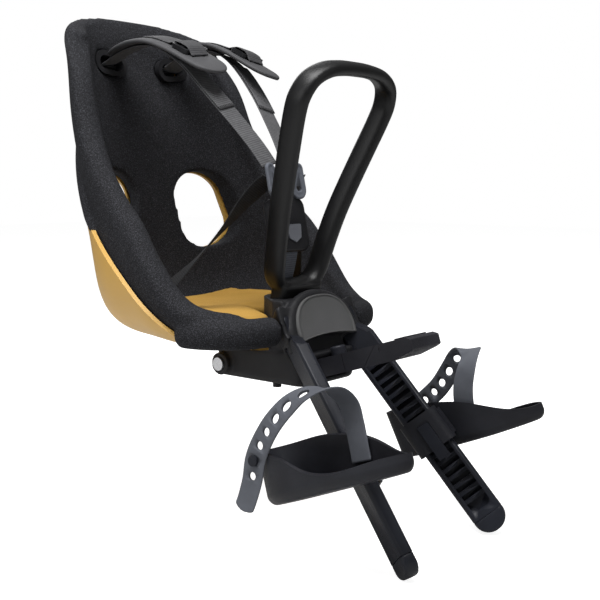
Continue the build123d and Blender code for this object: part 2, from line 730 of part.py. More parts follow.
def cover_plane():
    """Plane of the cover's face: local x across, local y up the slope, local z to the front."""
    rise = Vector(0, COVER_TOP[0] - COVER_FOOT[0], COVER_TOP[1] - COVER_FOOT[1]).normalized()
    return Plane((0, *COVER_FOOT), x_dir=(1, 0, 0), z_dir=Vector(1, 0, 0).cross(rise))


def cover_outline(inset=0.0):
    """D shape: a hollow lower edge, short sides and a round top."""
    height = math.dist(COVER_TOP, COVER_FOOT)
    half, side = COVER_HALF_WIDTH - inset, COVER_SIDE
    lower = ThreePointArc((-half, inset), (0, COVER_HOLLOW + inset), (half, inset))
    walls = Line((half, inset), (half, side)) + Line((-half, side), (-half, inset))
    return make_face(lower + walls + ThreePointArc((half, side), (0, height - inset), (-half, side)))


def top_cover():
    plane = cover_plane().offset(-COVER)
    plate = extrude(plane * cover_outline(), COVER)
    border = extrude(plane * (cover_outline() - cover_outline(COVER_BORDER)), COVER + 1.2)
    return plate + border


def clamp_plane():
    """Frame of the stem clamp: x forward along the clamp, y to the left, z up the stem."""
    level, rise = cos_deg(STEM_LEAN), sin_deg(STEM_LEAN)
    return Plane((0, 0, 0), x_dir=(0, -level, rise), z_dir=(0, rise, level))


def clamp_side(points, half_width):
    """Solid of a side outline in the clamp's frame, given as (forward, up) points."""
    plane = Plane((0, 0, 0), x_dir=(1, 0, 0), z_dir=(0, -1, 0))
    return extrude(plane * make_face(Polyline(*points, close=True)), half_width, both=True)


def clamp_pocket():
    """Seat in the carrier for the back of the clamp."""
    low, high = CLAMP_BACK_U - CLAMP_SEAT, CLAMP_BACK_U + 40
    width, height = 2 * (CLAMP_HALF_WIDTH + CLAMP_SEAT), CLAMP_HEIGHT + 2 * CLAMP_SEAT
    block = Pos((low + high) / 2, 0, 0) * Box(high - low, width, height)
    return clamp_plane().location * block


def carrier(shell):
    """Moulded housing under the seat: base, nose, leg shoulders, axle lugs and bosses for the shell."""
    depth, height = CARRIER_BACK_Y - CARRIER_FRONT_Y, CARRIER_TOP_Z - CARRIER_BOTTOM_Z
    base = extrude(RectangleRounded(2 * CARRIER_HALF_WIDTH, depth, 16), height)
    base = fillet(base.faces().sort_by(Axis.Z)[0].edges(), CARRIER_ROUND)
    base = Pos(0, (CARRIER_BACK_Y + CARRIER_FRONT_Y) / 2, CARRIER_BOTTOM_Z) * base
    nose = extrude(Plane.XY.offset(CARRIER_TOP_Z - 4) * nose_outline(), NOSE_TOP_Z - CARRIER_TOP_Z + 4)
    nose -= extrude(cover_plane().offset(-COVER) * Rectangle(200, 300), 100)
    shoulder = leg_plane().location * extrude(leg_section(SHOULDER_WALL), -SHOULDER_LENGTH)
    socket = leg_plane().location * leg_root(ROOT_FIT)
    body = base + nose + shoulder + mirror(shoulder, Plane.YZ)
    socket += leg_plane().location * extrude(leg_section(SLEEVE_CLEARANCE), SHOULDER_LENGTH)
    body -= [socket, mirror(socket, Plane.YZ)]
    body -= extrude(cover_plane().offset(-COVER) * cover_outline(-COVER_FIT), 3 * COVER)
    lug = Rot(0, 90, 0) * Cylinder(LUG_RADIUS, 2 * LUG_END_X)
    body += Pos(0, AXLE_Y, AXLE_Z) * lug
    body -= Pos(0, AXLE_Y, AXLE_Z) * (Rot(0, 90, 0) * Cylinder(AXLE_RADIUS + RUNNING_FIT, 4 * LUG_END_X))
    for x, y in shell_bolt_points():
        foot = Plane.XY.offset(CARRIER_TOP_Z - 1) * (Pos(x, y) * Circle(BOSS_RADIUS))
        boss = extrude(foot, CARRIER_DROP + 2)
        body += boss - shell
    for x, y in shell_bolt_points():
        body -= Pos(x, y, SHELL_FLOOR_Z) * Cylinder(BOLT_RADIUS, 2 * BOLT_LENGTH)
    body -= clamp_pocket()
    knob_space = Pos(KNOB_U, 0, CLAMP_HEIGHT) * Cylinder(KNOB_RADIUS + 1, 2 * CLAMP_HEIGHT)
    body -= clamp_plane().location * knob_space
    body -= loop_post(POST_FIT)
    _, crotch_y, crotch_z = CROTCH_PATH[-1]
    crotch_depth = NOSE_TOP_Z - crotch_z + CROTCH_SLOT
    crotch_hole = Box(WEB_WIDTH + 2 * CROTCH_SLOT, WEB + 6 * CROTCH_SLOT, 2 * crotch_depth)
    body -= Pos(0, crotch_y, NOSE_TOP_Z) * crotch_hole
    for side in (1, -1):
        body -= Pos(side * NUB_X, NUB_Y, CARRIER_BOTTOM_Z) * Cylinder(NUB_RADIUS - 1, 8)
    return body


def rear_axle():
    pin = Cylinder(AXLE_RADIUS, 2 * LUG_END_X + 0.2)
    head = Cylinder(AXLE_HEAD_RADIUS, AXLE_HALF_LENGTH - LUG_END_X)
    rise = (AXLE_HALF_LENGTH + LUG_END_X) / 2 + 0.1
    axle = pin + Pos(0, 0, rise) * head + Pos(0, 0, -rise) * head
    return Pos(0, AXLE_Y, AXLE_Z) * (Rot(0, 90, 0) * axle)


def carrier_nub(side):
    stem = Pos(0, 0, 2) * Cylinder(NUB_RADIUS - 1, 4)
    head = Pos(0, 0, -NUB_HEIGHT / 2) * Cylinder(NUB_RADIUS, NUB_HEIGHT)
    return Pos(side * NUB_X, NUB_Y, CARRIER_BOTTOM_Z) * (stem + head)


def shell_bolt(x, y):
    shank = Pos(0, 0, -BOLT_LENGTH / 2) * Cylinder(BOLT_RADIUS, BOLT_LENGTH)
    head = Pos(0, 0, BOLT_HEAD / 2) * Cylinder(BOLT_HEAD_RADIUS, BOLT_HEAD)
    return Pos(x, y, SHELL_FLOOR_Z + WASHER + WASHER_LIFT) * (shank + head)


def shell_washer(x, y):
    ring = Cylinder(WASHER_RADIUS, WASHER) - Cylinder(BOLT_RADIUS + 0.1, 2 * WASHER)
    return Pos(x, y, SHELL_FLOOR_Z + WASHER_LIFT + WASHER / 2) * ring


# Stem clamp and its lever

def bore(radius):
    return Cylinder(radius, 4 * CLAMP_HEIGHT)


def clamp_bolt_holes(radius):
    hole = Rot(0, 90, 0) * Cylinder(radius, 200)
    return [Pos(0, side * CLAMP_BOLT_X, 0) * hole for side in (1, -1)]


def seam_u(height):
    """Forward place of the slanted seam between clamp and lever at a height."""
    share = (height + CLAMP_HEIGHT / 2) / CLAMP_HEIGHT
    return CLAMP_SEAM_LOW_U + (CLAMP_SEAM_HIGH_U - CLAMP_SEAM_LOW_U) * share


def clamp_block():
    """Back half of the clamp, seated in the carrier."""
    half = CLAMP_HEIGHT / 2
    split = -CLAMP_SPLIT / 2
    outline = [(CLAMP_BACK_U, -half), (split, -half), (split, half), (CLAMP_BACK_U, half)]
    body = clamp_side(outline, CLAMP_HALF_WIDTH)
    body -= [bore(STEM_RADIUS + SHIM), *clamp_bolt_holes(CLAMP_BOLT_RADIUS)]
    body -= Pos(KNOB_U, 0, half - 5) * Cylinder(CLAMP_BOLT_RADIUS, 10)
    return clamp_plane().location * body


def clamp_front():
    """Front half of the clamp, ending at the slanted seam, with a knuckle for the lever's pin."""
    half = CLAMP_HEIGHT / 2
    split = CLAMP_SPLIT / 2
    outline = [(split, -half), (seam_u(-half), -half), (seam_u(half), half), (split, half)]
    body = clamp_side(outline, CLAMP_HALF_WIDTH)
    barrel = Rot(90, 0, 0) * Cylinder(KNUCKLE_RADIUS, 2 * KNUCKLE_HALF_WIDTH)
    knuckle = Pos(LEVER_PIN_U, 0, LEVER_PIN_W) * barrel
    arm = [
        (seam_u(0) - KNUCKLE_ROOT, half), (LEVER_PIN_U, half - LEVER_GAP),
        (LEVER_PIN_U, LEVER_PIN_W - KNUCKLE_RADIUS), (seam_u(-KNUCKLE_DROP) - KNUCKLE_ROOT, -KNUCKLE_DROP),
    ]
    web = clamp_side(arm, KNUCKLE_HALF_WIDTH)
    body += [knuckle, web]
    body -= [bore(STEM_RADIUS + SHIM), *clamp_bolt_holes(CLAMP_BOLT_RADIUS)]
    body -= lever_pin_hole()
    return clamp_plane().location * body


def lever_pin_hole(grow=RUNNING_FIT):
    hole = Rot(90, 0, 0) * Cylinder(LEVER_PIN_RADIUS + grow, 4 * CLAMP_HALF_WIDTH)
    return Pos(LEVER_PIN_U, 0, LEVER_PIN_W) * hole


def clamp_lever():
    """Flip-up lever: a long handle with a ribbed end block and a slot for the clamp's knuckle."""
    half = CLAMP_HEIGHT / 2
    tip = LEVER_END_U - LEVER_CHAMFER
    outline = [
        (seam_u(-half) + LEVER_GAP, -half), (LEVER_BLOCK_U, -half), (tip, -half + LEVER_LIP),
        (LEVER_END_U, -half + LEVER_LIP + LEVER_CHAMFER / 3), (LEVER_END_U, half - LEVER_CHAMFER / 2),
        (tip, half), (seam_u(half) + LEVER_GAP, half),
    ]
    body = clamp_side(outline, CLAMP_HALF_WIDTH)
    body = fillet(body.edges().filter_by(Axis.Y).sort_by(Axis.X)[-4:], LEVER_ROUND)
    slot_end = LEVER_PIN_U + KNUCKLE_RADIUS + KNUCKLE_CLEARANCE
    slot_width = 2 * (KNUCKLE_HALF_WIDTH + KNUCKLE_SIDE_CLEARANCE)
    body -= Pos(slot_end / 2, 0, 0) * Box(slot_end, slot_width, 2 * CLAMP_HEIGHT)
    pitch = (tip - LEVER_BLOCK_U) / (LEVER_RIBS + 1)
    for rib in range(1, LEVER_RIBS + 1):
        bar = Box(pitch * 0.45, 1.5 * CLAMP_HALF_WIDTH, 2 * LEVER_RIB_RISE)
        body += Pos(LEVER_BLOCK_U + pitch * rib, 0, half) * bar
    body -= lever_pin_hole()
    return clamp_plane().location * body


def lever_pin():
    pin = Rot(90, 0, 0) * Cylinder(LEVER_PIN_RADIUS, 2 * CLAMP_HALF_WIDTH - 1)
    return clamp_plane().location * (Pos(LEVER_PIN_U, 0, LEVER_PIN_W) * pin)


def clamp_shim():
    """Split rubber sleeve round the stem."""
    ring = Cylinder(STEM_RADIUS + SHIM, CLAMP_HEIGHT) - Cylinder(STEM_RADIUS, 2 * CLAMP_HEIGHT)
    ring -= Pos(0, STEM_RADIUS, 0) * Box(2, 4 * SHIM, 2 * CLAMP_HEIGHT)
    return clamp_plane().location * ring


def clamp_bolt(side):
    length = seam_u(0) - 4 + CLAMP_BOLT_DEPTH
    shank = Pos(length / 2 - CLAMP_BOLT_DEPTH, 0, 0) * (Rot(0, 90, 0) * Cylinder(CLAMP_BOLT_RADIUS, length))
    return clamp_plane().location * (Pos(0, side * CLAMP_BOLT_X, 0) * shank)


def clamp_knob():
    """Domed bolt head on top of the clamp, with its shank in the block."""
    head = Cylinder(KNOB_RADIUS, KNOB_HEIGHT)
    head = fillet(head.edges().sort_by(Axis.Z)[-1], 2.5)
    shank = Pos(0, 0, -KNOB_HEIGHT / 2 - 4.5) * Cylinder(CLAMP_BOLT_RADIUS, 9)
    return clamp_plane().location * (Pos(KNOB_U, 0, CLAMP_HEIGHT / 2 + KNOB_HEIGHT / 2) * (head + shank))


# Footrests

def cup_plane():
    """Frame of the footbed at the leg: local x to the toe, local y out from the leg, local z up."""
    level = leg_plane(SLEEVE_CENTRE, turn=0.0)
    toe = level.y_dir * cos_deg(SOLE_TILT) + level.z_dir * sin_deg(SOLE_TILT)
    up = level.y_dir * sin_deg(SOLE_TILT) - level.z_dir * cos_deg(SOLE_TILT)
    return Plane(level.origin + level.x_dir * CUP_OUT, x_dir=toe, z_dir=up)


def cup_level(height, inset):
    """Footbed outline at a height, drawn in from the widest outline by about the inset."""
    along = [point[0] for point in CUP_OUTLINE]
    across = [point[1] for point in CUP_OUTLINE]
    middle_x, half_x = (max(along) + min(along)) / 2, (max(along) - min(along)) / 2
    middle_y, half_y = (max(across) + min(across)) / 2, (max(across) - min(across)) / 2
    grow_x, grow_y = 1 - inset / half_x, 1 - inset / half_y
    points = [
        (middle_x + (x - middle_x) * grow_x, middle_y + (y - middle_y) * grow_y)
        for x, y in CUP_OUTLINE
    ]
    return Plane.XY.offset(height) * make_face(Spline(*points, periodic=True))


def cup_hull(inset):
    """Solid hull of the footbed with a rounded bottom; an inset of the wall gives its inside."""
    floor = CUP_FLOOR + inset
    turn = CUP_BOTTOM_ROUND
    levels = [cup_level(floor + turn * rise, inset + turn * extra) for rise, extra in CUP_ROUNDING]
    return loft(levels) + extrude(levels[-1], CUP_HEIGHT)


def rim_cutter():
    """Everything above the rim, ruled from the inner wall's rim line to the outer wall's."""
    faces = []
    for across, rim in ((0.0, CUP_INNER_RIM), (80.0, CUP_OUTER_RIM)):
        first, last = rim[0], rim[-1]
        top = 2 * CUP_HEIGHT
        outline = Spline(*rim) + Polyline(last, (last[0], top), (first[0], top), first)
        faces.append(Plane((0, across, 0), x_dir=(1, 0, 0), z_dir=(0, -1, 0)) * make_face(outline))
    return loft(faces, ruled=True)


def latch_box(grow):
    return Box(4 * SLEEVE_WALL, LATCH_WIDTH + 2 * grow, LATCH_LENGTH + 2 * grow)


def footrest():
    """Cup for the foot with a sleeve round the leg."""
    cup = cup_hull(0.0) - cup_hull(CUP_WALL) - rim_cutter()
    cup = cup_plane().location * cup
    level = leg_plane(SLEEVE_CENTRE).location
    sleeve = extrude(leg_section(SLEEVE_CLEARANCE + SLEEVE_WALL), SLEEVE_LENGTH / 2, both=True)
    reach = CUP_OUT + min(across for _, across in CUP_OUTLINE) + CUP_WALL / 2
    web = Pos(reach / 2, 0, 0) * Box(reach, LEG_WIDTH, SLEEVE_LENGTH * 0.8)
    body = cup + level * sleeve + leg_plane(SLEEVE_CENTRE, turn=0.0).location * web
    body -= stud_location() * stud_post(RUNNING_FIT)
    body -= level * extrude(leg_section(SLEEVE_CLEARANCE), 2 * LEG_LENGTH, both=True)
    window_x = -LEG_THICKNESS / 2 - SLEEVE_CLEARANCE - SLEEVE_WALL
    body -= level * (Pos(window_x, 0, 0) * latch_box(LATCH_FIT))
    return body


def height_latch():
    """Sprung catch in the sleeve, with a tooth between two rungs and a finger tab below the sleeve."""
    back_x = -LEG_THICKNESS / 2 - SLEEVE_CLEARANCE
    out_x = back_x - SLEEVE_WALL - LATCH_FIT
    plate = Pos((back_x + out_x) / 2, 0, 0) * Box(back_x - out_x, LATCH_WIDTH, LATCH_LENGTH)
    tip_x = -LEG_THICKNESS / 2 + RUNG_DROP + LATCH_BITE
    tooth = Pos((tip_x + back_x) / 2, 0, 0) * Box(tip_x - back_x, LATCH_WIDTH, RUNG_PITCH - RUNG - 1.6)
    tab_end = SLEEVE_LENGTH / 2 + LATCH_TAB
    tab = Pos(out_x - LATCH_TAB_THICKNESS / 2, 0, (tab_end - LATCH_LENGTH / 2) / 2)
    tab *= Box(LATCH_TAB_THICKNESS, LATCH_WIDTH, tab_end + LATCH_LENGTH / 2)
    return leg_plane(SLEEVE_CENTRE).location * (plate + tooth + tab)


# Path of the foot strap in the footbed's frame, and the way its face looks at each point
FOOT_STRAP_PATH = [
    (33, 18.4, -6), (34, 18.4, 12), (35, 18.8, 31), (38, 25, 49), (37, 42, 61), (22, 56, 63), (2, 63, 57),
    (-18, 67, 46), (-36, 68.5, 32), (-49, 69.2, 17.5), (-58, 69.5, 1), (-68, 71.5, -15), (-74, 74, -24),
]
FOOT_STRAP_FACES = [
    (0, -1, 0), (0, -1, 0), (0, -1, 0.2), (0, -0.8, 0.6), (0, 0, 1), (0.1, 0.6, 0.8), (0.2, 0.9, 0.4),
    (0.2, 0.95, 0.2), (0.2, 0.95, 0.1), (0.2, 0.97, 0), (0.2, 0.97, 0.1), (0.2, 0.95, 0.2),
    (0.2, 0.95, 0.2),
]
STUD_POINT = 9


def strap_normal(index):
    """Direction out of the foot strap's face at a point of its path."""
    before, after = [Vector(*FOOT_STRAP_PATH[index + step]) for step in (-1, 1)]
    along = (after - before).normalized()
    face = Vector(*FOOT_STRAP_FACES[index])
    return (face - along * face.dot(along)).normalized()


def strap_location(index):
    """Place on the foot strap with local z out of its face."""
    return cup_plane().location * Plane(FOOT_STRAP_PATH[index], z_dir=strap_normal(index)).location


def foot_strap():
    """Rubber strap from the inside of the cup over the foot to a stud at the heel, with a row of holes."""
    body = cup_plane().location * band(FOOT_STRAP_PATH, FOOT_STRAP_FACES, FOOT_STRAP_WIDTH, FOOT_STRAP)
    for index in range(STUD_POINT - 3, STUD_POINT + 3):
        body -= strap_location(index) * Cylinder(STRAP_HOLE / 2, 4 * FOOT_STRAP)
    return body


def stud_location():
    return strap_location(STUD_POINT)


def stud_post(grow=0.0):
    """Post of the stud, from the strap's outer face through the cup's wall."""
    post = Cylinder(STUD_RADIUS + grow, STUD_LENGTH + FOOT_STRAP)
    return Pos(0, 0, (FOOT_STRAP - STUD_LENGTH) / 2) * post


def strap_stud():
    """Button that holds the strap: a post on the cup's heel wall, through a hole, with a round head."""
    head = Pos(0, 0, FOOT_STRAP + STUD_HEAD / 2) * Cylinder(STUD_HEAD_RADIUS, STUD_HEAD)
    return stud_location() * (stud_post() + head)


if __name__ == "__main__":
    os.makedirs("parts", exist_ok=True)
    shell = outer_shell()
    export("outer_shell", shell)
    export("foam_liner", foam_liner())
    export("seat_pad", seat_pad())
    export_pair("slot_ring", slot_ring() - slot_opening())
    export_pair("strap_bar", strap_bar())
    export_pair("shoulder_strap", shoulder_strap())
    export_pair("shoulder_pad", shoulder_pad())
    export_pair("strap_adjuster", strap_adjuster())
    export_pair("lap_strap", lap_strap())
    export_pair("tongue", tongue())
    export("crotch_strap", crotch_strap())
    export("buckle_body", buckle_body())
    export("buckle_button", buckle_button())
    export("grab_loop", grab_loop())
    export("carrier", carrier(shell))
    export("top_cover", top_cover())
    export("rear_axle", rear_axle())
    export("carrier_nubs", Compound([carrier_nub(1), carrier_nub(-1)]))
    export("shell_bolts", Compound([shell_bolt(x, y) for x, y in shell_bolt_points()]))
    export("shell_washers", Compound([shell_washer(x, y) for x, y in shell_bolt_points()]))
    export("clamp_block", clamp_block())
    export("clamp_front", clamp_front())
    export("clamp_shim", clamp_shim())
    export("clamp_bolts", Compound([clamp_bolt(1), clamp_bolt(-1)]))
    export("clamp_knob", clamp_knob())
    export("clamp_lever", clamp_lever())
    export("lever_pin", lever_pin())
    export_pair("leg", leg())
    export_pair("leg_end_cap", leg_end_cap())
    export_pair("footrest", footrest())
    export_pair("height_latch", height_latch())
    export_pair("foot_strap", foot_strap())
    export_pair("strap_stud", strap_stud())
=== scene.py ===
# Looks of a front child seat for a bicycle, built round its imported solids.
import math
import bmesh
import bpy
import numpy as np
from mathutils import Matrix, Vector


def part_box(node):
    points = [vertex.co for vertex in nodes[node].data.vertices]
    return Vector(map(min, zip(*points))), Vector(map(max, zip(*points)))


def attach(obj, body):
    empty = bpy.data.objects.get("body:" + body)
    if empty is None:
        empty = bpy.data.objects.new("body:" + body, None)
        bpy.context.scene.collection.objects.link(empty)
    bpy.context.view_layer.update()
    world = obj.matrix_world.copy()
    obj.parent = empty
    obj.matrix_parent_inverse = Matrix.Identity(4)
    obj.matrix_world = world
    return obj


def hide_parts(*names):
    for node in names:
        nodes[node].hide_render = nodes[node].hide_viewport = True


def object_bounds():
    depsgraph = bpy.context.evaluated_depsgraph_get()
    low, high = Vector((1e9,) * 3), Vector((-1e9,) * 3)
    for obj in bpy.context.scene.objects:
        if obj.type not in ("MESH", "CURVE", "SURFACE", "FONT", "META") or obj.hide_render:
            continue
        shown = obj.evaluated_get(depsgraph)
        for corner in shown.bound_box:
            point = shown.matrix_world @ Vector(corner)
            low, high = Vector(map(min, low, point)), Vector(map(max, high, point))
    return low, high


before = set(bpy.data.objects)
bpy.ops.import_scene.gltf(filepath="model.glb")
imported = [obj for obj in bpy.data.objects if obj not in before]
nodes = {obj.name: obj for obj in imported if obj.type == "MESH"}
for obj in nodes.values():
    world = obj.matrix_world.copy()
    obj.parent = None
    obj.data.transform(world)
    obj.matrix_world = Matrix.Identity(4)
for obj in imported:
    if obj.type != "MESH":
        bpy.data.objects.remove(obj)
cad_box = [list(corner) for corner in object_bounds()]
scene = bpy.context.scene
scene.view_settings.view_transform = "Standard"
MM = 0.001

# Carrier
# The housing under the seat is one piece of glass-filled nylon with a fine spark-eroded grain.
# It holds the grab loop's post, the leg sockets, the clamp and the rear axle's lugs.
SIDEWAYS = np.array([1.0, 0.0, 0.0])
MERGE_DISTANCE = 0.00002
SHARP_ANGLE = math.radians(32.0)
EASE_FACTOR = 0.5
# Rows of a strap's mesh from each of its points to the next, and points round it
STRAP_STEPS = 10
STRAP_COLUMNS = 28
# Superellipse numbers of a strap's edges and faces: 2 is round, and more is squarer
STRAP_EDGE = 6.0
STRAP_FACE = 2.5
# Numbers of a Mix node's factor, its two colours and the colour that comes out
MIX_FACTOR, MIX_FIRST, MIX_SECOND, MIX_RESULT = 0, 6, 7, 2


class Shade:
    """One socket of a material's node tree; arithmetic on it adds Math nodes to that tree."""

    def __init__(self, tree, socket):
        self.tree = tree
        self.socket = socket

    def node(self, kind, settings, sockets, output=0):
        """New node of a kind, with its settings made first and then its sockets set or linked."""
        node = self.tree.nodes.new(kind)
        for name, value in settings.items():
            setattr(node, name, value)
        for name, value in sockets.items():
            feed(node.inputs[name], value)
        return Shade(self.tree, node.outputs[output])

    def math(self, operation, *values):
        """Math node of an operation on values or shades."""
        return self.node("ShaderNodeMath", {"operation": operation}, dict(enumerate(values)))

    def __add__(self, other):
        return self.math("ADD", self, other)

    def __radd__(self, other):
        return self.math("ADD", other, self)

    def __sub__(self, other):
        return self.math("SUBTRACT", self, other)

    def __rsub__(self, other):
        return self.math("SUBTRACT", other, self)

    def __mul__(self, other):
        return self.math("MULTIPLY", self, other)

    def __rmul__(self, other):
        return self.math("MULTIPLY", other, self)

    def sine(self, radians):
        """Sine of this value times a number of radians to the metre."""
        return self.math("SINE", self * radians)

    def between(self, low, high):
        """0 below low, 1 above high and a smooth step between."""
        kind = "ShaderNodeMapRange"
        sockets = {"Value": self, "From Min": low, "From Max": high}
        return self.node(kind, {"interpolation_type": "SMOOTHSTEP"}, sockets)

    def noise(self, scale, detail=2.0):
        """Cloudy pattern with this many waves to the metre."""
        sockets = {"Vector": self, "Scale": scale, "Detail": detail}
        return self.node("ShaderNodeTexNoise", {}, sockets)

    def cells(self, scale):
        """Distance pattern of random cells, this many to the metre."""
        return self.node("ShaderNodeTexVoronoi", {}, {"Vector": self, "Scale": scale})

    def part(self, index):
        """One coordinate of a vector."""
        return self.node("ShaderNodeSeparateXYZ", {}, {"Vector": self}, index)

    def blend(self, first, second):
        """Colour from first to second as this value goes from 0 to 1."""
        sockets = {MIX_FACTOR: self, MIX_FIRST: first, MIX_SECOND: second}
        return self.node("ShaderNodeMix", {"data_type": "RGBA"}, sockets, MIX_RESULT)

    def relief(self, depth, strength=1.0):
        """Normal of a surface raised by this value times a depth in metres."""
        return self.node("ShaderNodeBump", {}, {"Height": self, "Distance": depth, "Strength": strength})


def feed(socket, value):
    """Links a shade to a node's input, or sets the input to a plain value."""
    if isinstance(value, Shade):
        value.tree.links.new(value.socket, socket)
    else:
        socket.default_value = value


def srgb(red, green, blue):
    """Linear colour of an sRGB colour given from 0 to 255."""
    channels = [value / 255 for value in (red, green, blue)]
    return tuple(c / 12.92 if c < 0.04045 else ((c + 0.055) / 1.055) ** 2.4 for c in channels) + (1.0,)


def surface(name, describe, uv=False):
    """New material; describe takes the coordinates and returns the shader's values by socket name."""
    material = bpy.data.materials.new(name)
    material.use_nodes = True
    tree = material.node_tree
    shader = tree.nodes["Principled BSDF"]
    coordinates = tree.nodes.new("ShaderNodeTexCoord").outputs["UV" if uv else "Object"]
    for socket, value in describe(Shade(tree, coordinates)).items():
        feed(shader.inputs[socket], value)
    return material


def grained_plastic(name, colour, light, roughness, grain=2200.0, depth=0.00006):
    """Moulded plastic: fine pitted grain, cloudy sheen and a slight change of shade."""
    def describe(place):
        cloud = place.noise(18.0, 3.0)
        pits = place.cells(grain).between(0.1, 0.6)
        return {
            "Base Color": cloud.between(0.3, 0.75).blend(colour, light),
            "Roughness": roughness + 0.12 * cloud - 0.06 + 0.05 * pits,
            "Specular IOR Level": 0.18,
            "Normal": pits.relief(depth),
        }
    return surface(name, describe)


def dress(material, *names):
    """Gives CAD nodes a material."""
    for name in names:
        nodes[name].data.materials.clear()
        nodes[name].data.materials.append(material)


def forward_of(up):
    """Forward direction at right angles to an upward one, both in the seat's middle plane."""
    return np.array([0.0, -up[2], up[1]])


def in_plane(origin, first, second, rows):
    """Points of a plane: its origin plus each row's two numbers times the plane's two directions."""
    rows = np.asarray(rows, float)
    return origin + rows[:, :1] * first + rows[:, 1:] * second


def squared_off(wave, edge):
    """Sine or cosine for a superellipse: its size to the power of 2 over the edge number, with its sign."""
    return np.sign(wave) * np.abs(wave) ** (2 / edge)


def smooth_rows(rows, steps):
    """Rows of numbers along a curve through the given rows (Catmull-Rom), each step divided evenly."""
    rows = np.asarray(rows, float)
    padded = np.vstack([2 * rows[0] - rows[1], rows, 2 * rows[-1] - rows[-2]])
    share = np.linspace(0.0, 1.0, steps, endpoint=False)[:, None, None]
    before, start, stop, after = padded[:-3], padded[1:-2], padded[2:-1], padded[3:]
    bend = 2 * before - 5 * start + 4 * stop - after
    twist = 3 * start - before - 3 * stop + after
    curve = start + 0.5 * ((stop - before) * share + bend * share**2 + twist * share**3)
    return np.vstack([curve.transpose(1, 0, 2).reshape(-1, rows.shape[1]), rows[-1:]])


def unit(rows):
    """Rows divided by their lengths."""
    return rows / np.linalg.norm(rows, axis=1, keepdims=True)


def lengths_along(path):
    """Distance of each point of a path from its start, added up along it."""
    return np.concatenate([[0.0], np.cumsum(np.linalg.norm(np.diff(path, axis=0), axis=1))])


def ribbon_frame(points, faces):
    """Points along a strap with the directions across it and out of its face: across is at right angles to
    the path and to the rough outward directions in faces, which are one for each point or one for all."""
    path = smooth_rows(points, STRAP_STEPS)
    along = unit(np.gradient(path, axis=0))
    faces = smooth_rows(np.broadcast_to(faces, np.shape(points)), STRAP_STEPS)
    across = unit(np.cross(along, faces))
    return path, across, np.cross(across, along)


def ribbon_grid(path, across, out, width, thickness, edge=STRAP_EDGE):
    """Flat strap: a superellipse of the strap's width and thickness carried along its path. The chart holds
    each point's distance across the strap and along it."""
    turn = np.linspace(0.0, 2 * math.pi, STRAP_COLUMNS, endpoint=False)
    wide = squared_off(np.cos(turn), edge)
    high = squared_off(np.sin(turn), STRAP_FACE)
    width = np.broadcast_to(np.asarray(width, float), len(path))[:, None]
    thickness = np.broadcast_to(np.asarray(thickness, float), len(path))[:, None]
    offset_across = (0.5 * width * wide)[:, :, None] * across[:, None, :]
    offset_out = (0.5 * thickness * high)[:, :, None] * out[:, None, :]
    grid = path[:, None, :] + offset_across + offset_out
    reach = np.broadcast_to(lengths_along(path)[:, None], grid.shape[:2])
    return grid, np.stack([0.5 * width * wide, reach], axis=2)


def grid_mesh(name, grid, chart, side=1.0):
    """Closed tube of a grid (rows along, columns round, in millimetres) with capped ends and a UV chart."""
    rows, columns, _ = grid.shape
    points = grid.reshape(-1, 3) * (side * MM, MM, MM)
    index = np.arange(rows * columns).reshape(rows, columns)
    near, far = index[:-1], index[1:]
    quads = np.stack([near, np.roll(near, -1, 1), np.roll(far, -1, 1), far], axis=2).reshape(-1, 4)
    mesh = bpy.data.meshes.new(name)
    mesh.from_pydata(points.tolist(), [], quads.tolist() + [index[0].tolist(), index[-1].tolist()])
    corners = np.empty(len(mesh.loops), np.int32)
    mesh.loops.foreach_get("vertex_index", corners)
    mesh.uv_layers.new(name="along").data.foreach_set("uv", (chart.reshape(-1, 2)[corners] * MM).ravel())
    mesh.shade_smooth()
    work = bmesh.new()
    work.from_mesh(mesh)
    bmesh.ops.recalc_face_normals(work, faces=work.faces)
    work.to_mesh(mesh)
    work.free()
    return mesh


def block(name, first, last):
    """Closed block between two outlines of as many points, in millimetres."""
    ends = np.stack([first, last])
    return grid_mesh(name, ends, np.zeros((*ends.shape[:2], 2)))


def linked(name, data):
    """New object in the scene."""
    piece = bpy.data.objects.new(name, data)
    scene.collection.objects.link(piece)
    return piece


def placed(name, mesh, material, body):
    """Object of a mesh, with its material and body."""
    piece = linked(name, mesh)
    mesh.materials.clear()
    mesh.materials.append(material)
    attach(piece, body)
    return piece


def settle(piece):
    """Applies a piece's modifiers to its mesh."""
    graph = bpy.context.evaluated_depsgraph_get()
    mesh = bpy.data.meshes.new_from_object(piece.evaluated_get(graph))
    piece.modifiers.clear()
    piece.data = mesh


def cut_away(piece, cutting_mesh):
    """Takes the inside of a closed mesh out of a piece."""
    cutter = linked("cutter", cutting_mesh)
    cut = piece.modifiers.new("cut", "BOOLEAN")
    cut.object = cutter
    cut.solver = "EXACT"
    settle(piece)
    bpy.data.objects.remove(cutter)


def joined(name, meshes):
    """One mesh of several, each left as it is."""
    mesh = bpy.data.meshes.new(name)
    work = bmesh.new()
    for part in meshes:
        work.from_mesh(part)
    work.to_mesh(mesh)
    work.free()
    return mesh


def merged_copy(node, cutting_mesh=None):
    """Copy of a CAD node's mesh with its seams merged, less a cutting mesh."""
    mesh = nodes[node].data.copy()
    work = bmesh.new()
    work.from_mesh(mesh)
    bmesh.ops.remove_doubles(work, verts=work.verts, dist=MERGE_DISTANCE)
    work.to_mesh(mesh)
    work.free()
    if cutting_mesh is None:
        return mesh
    piece = linked("copy", mesh)
    cut_away(piece, cutting_mesh)
    mesh = piece.data
    bpy.data.objects.remove(piece)
    mesh.shade_smooth()
    mesh.set_sharp_from_angle(angle=SHARP_ANGLE)
    return mesh


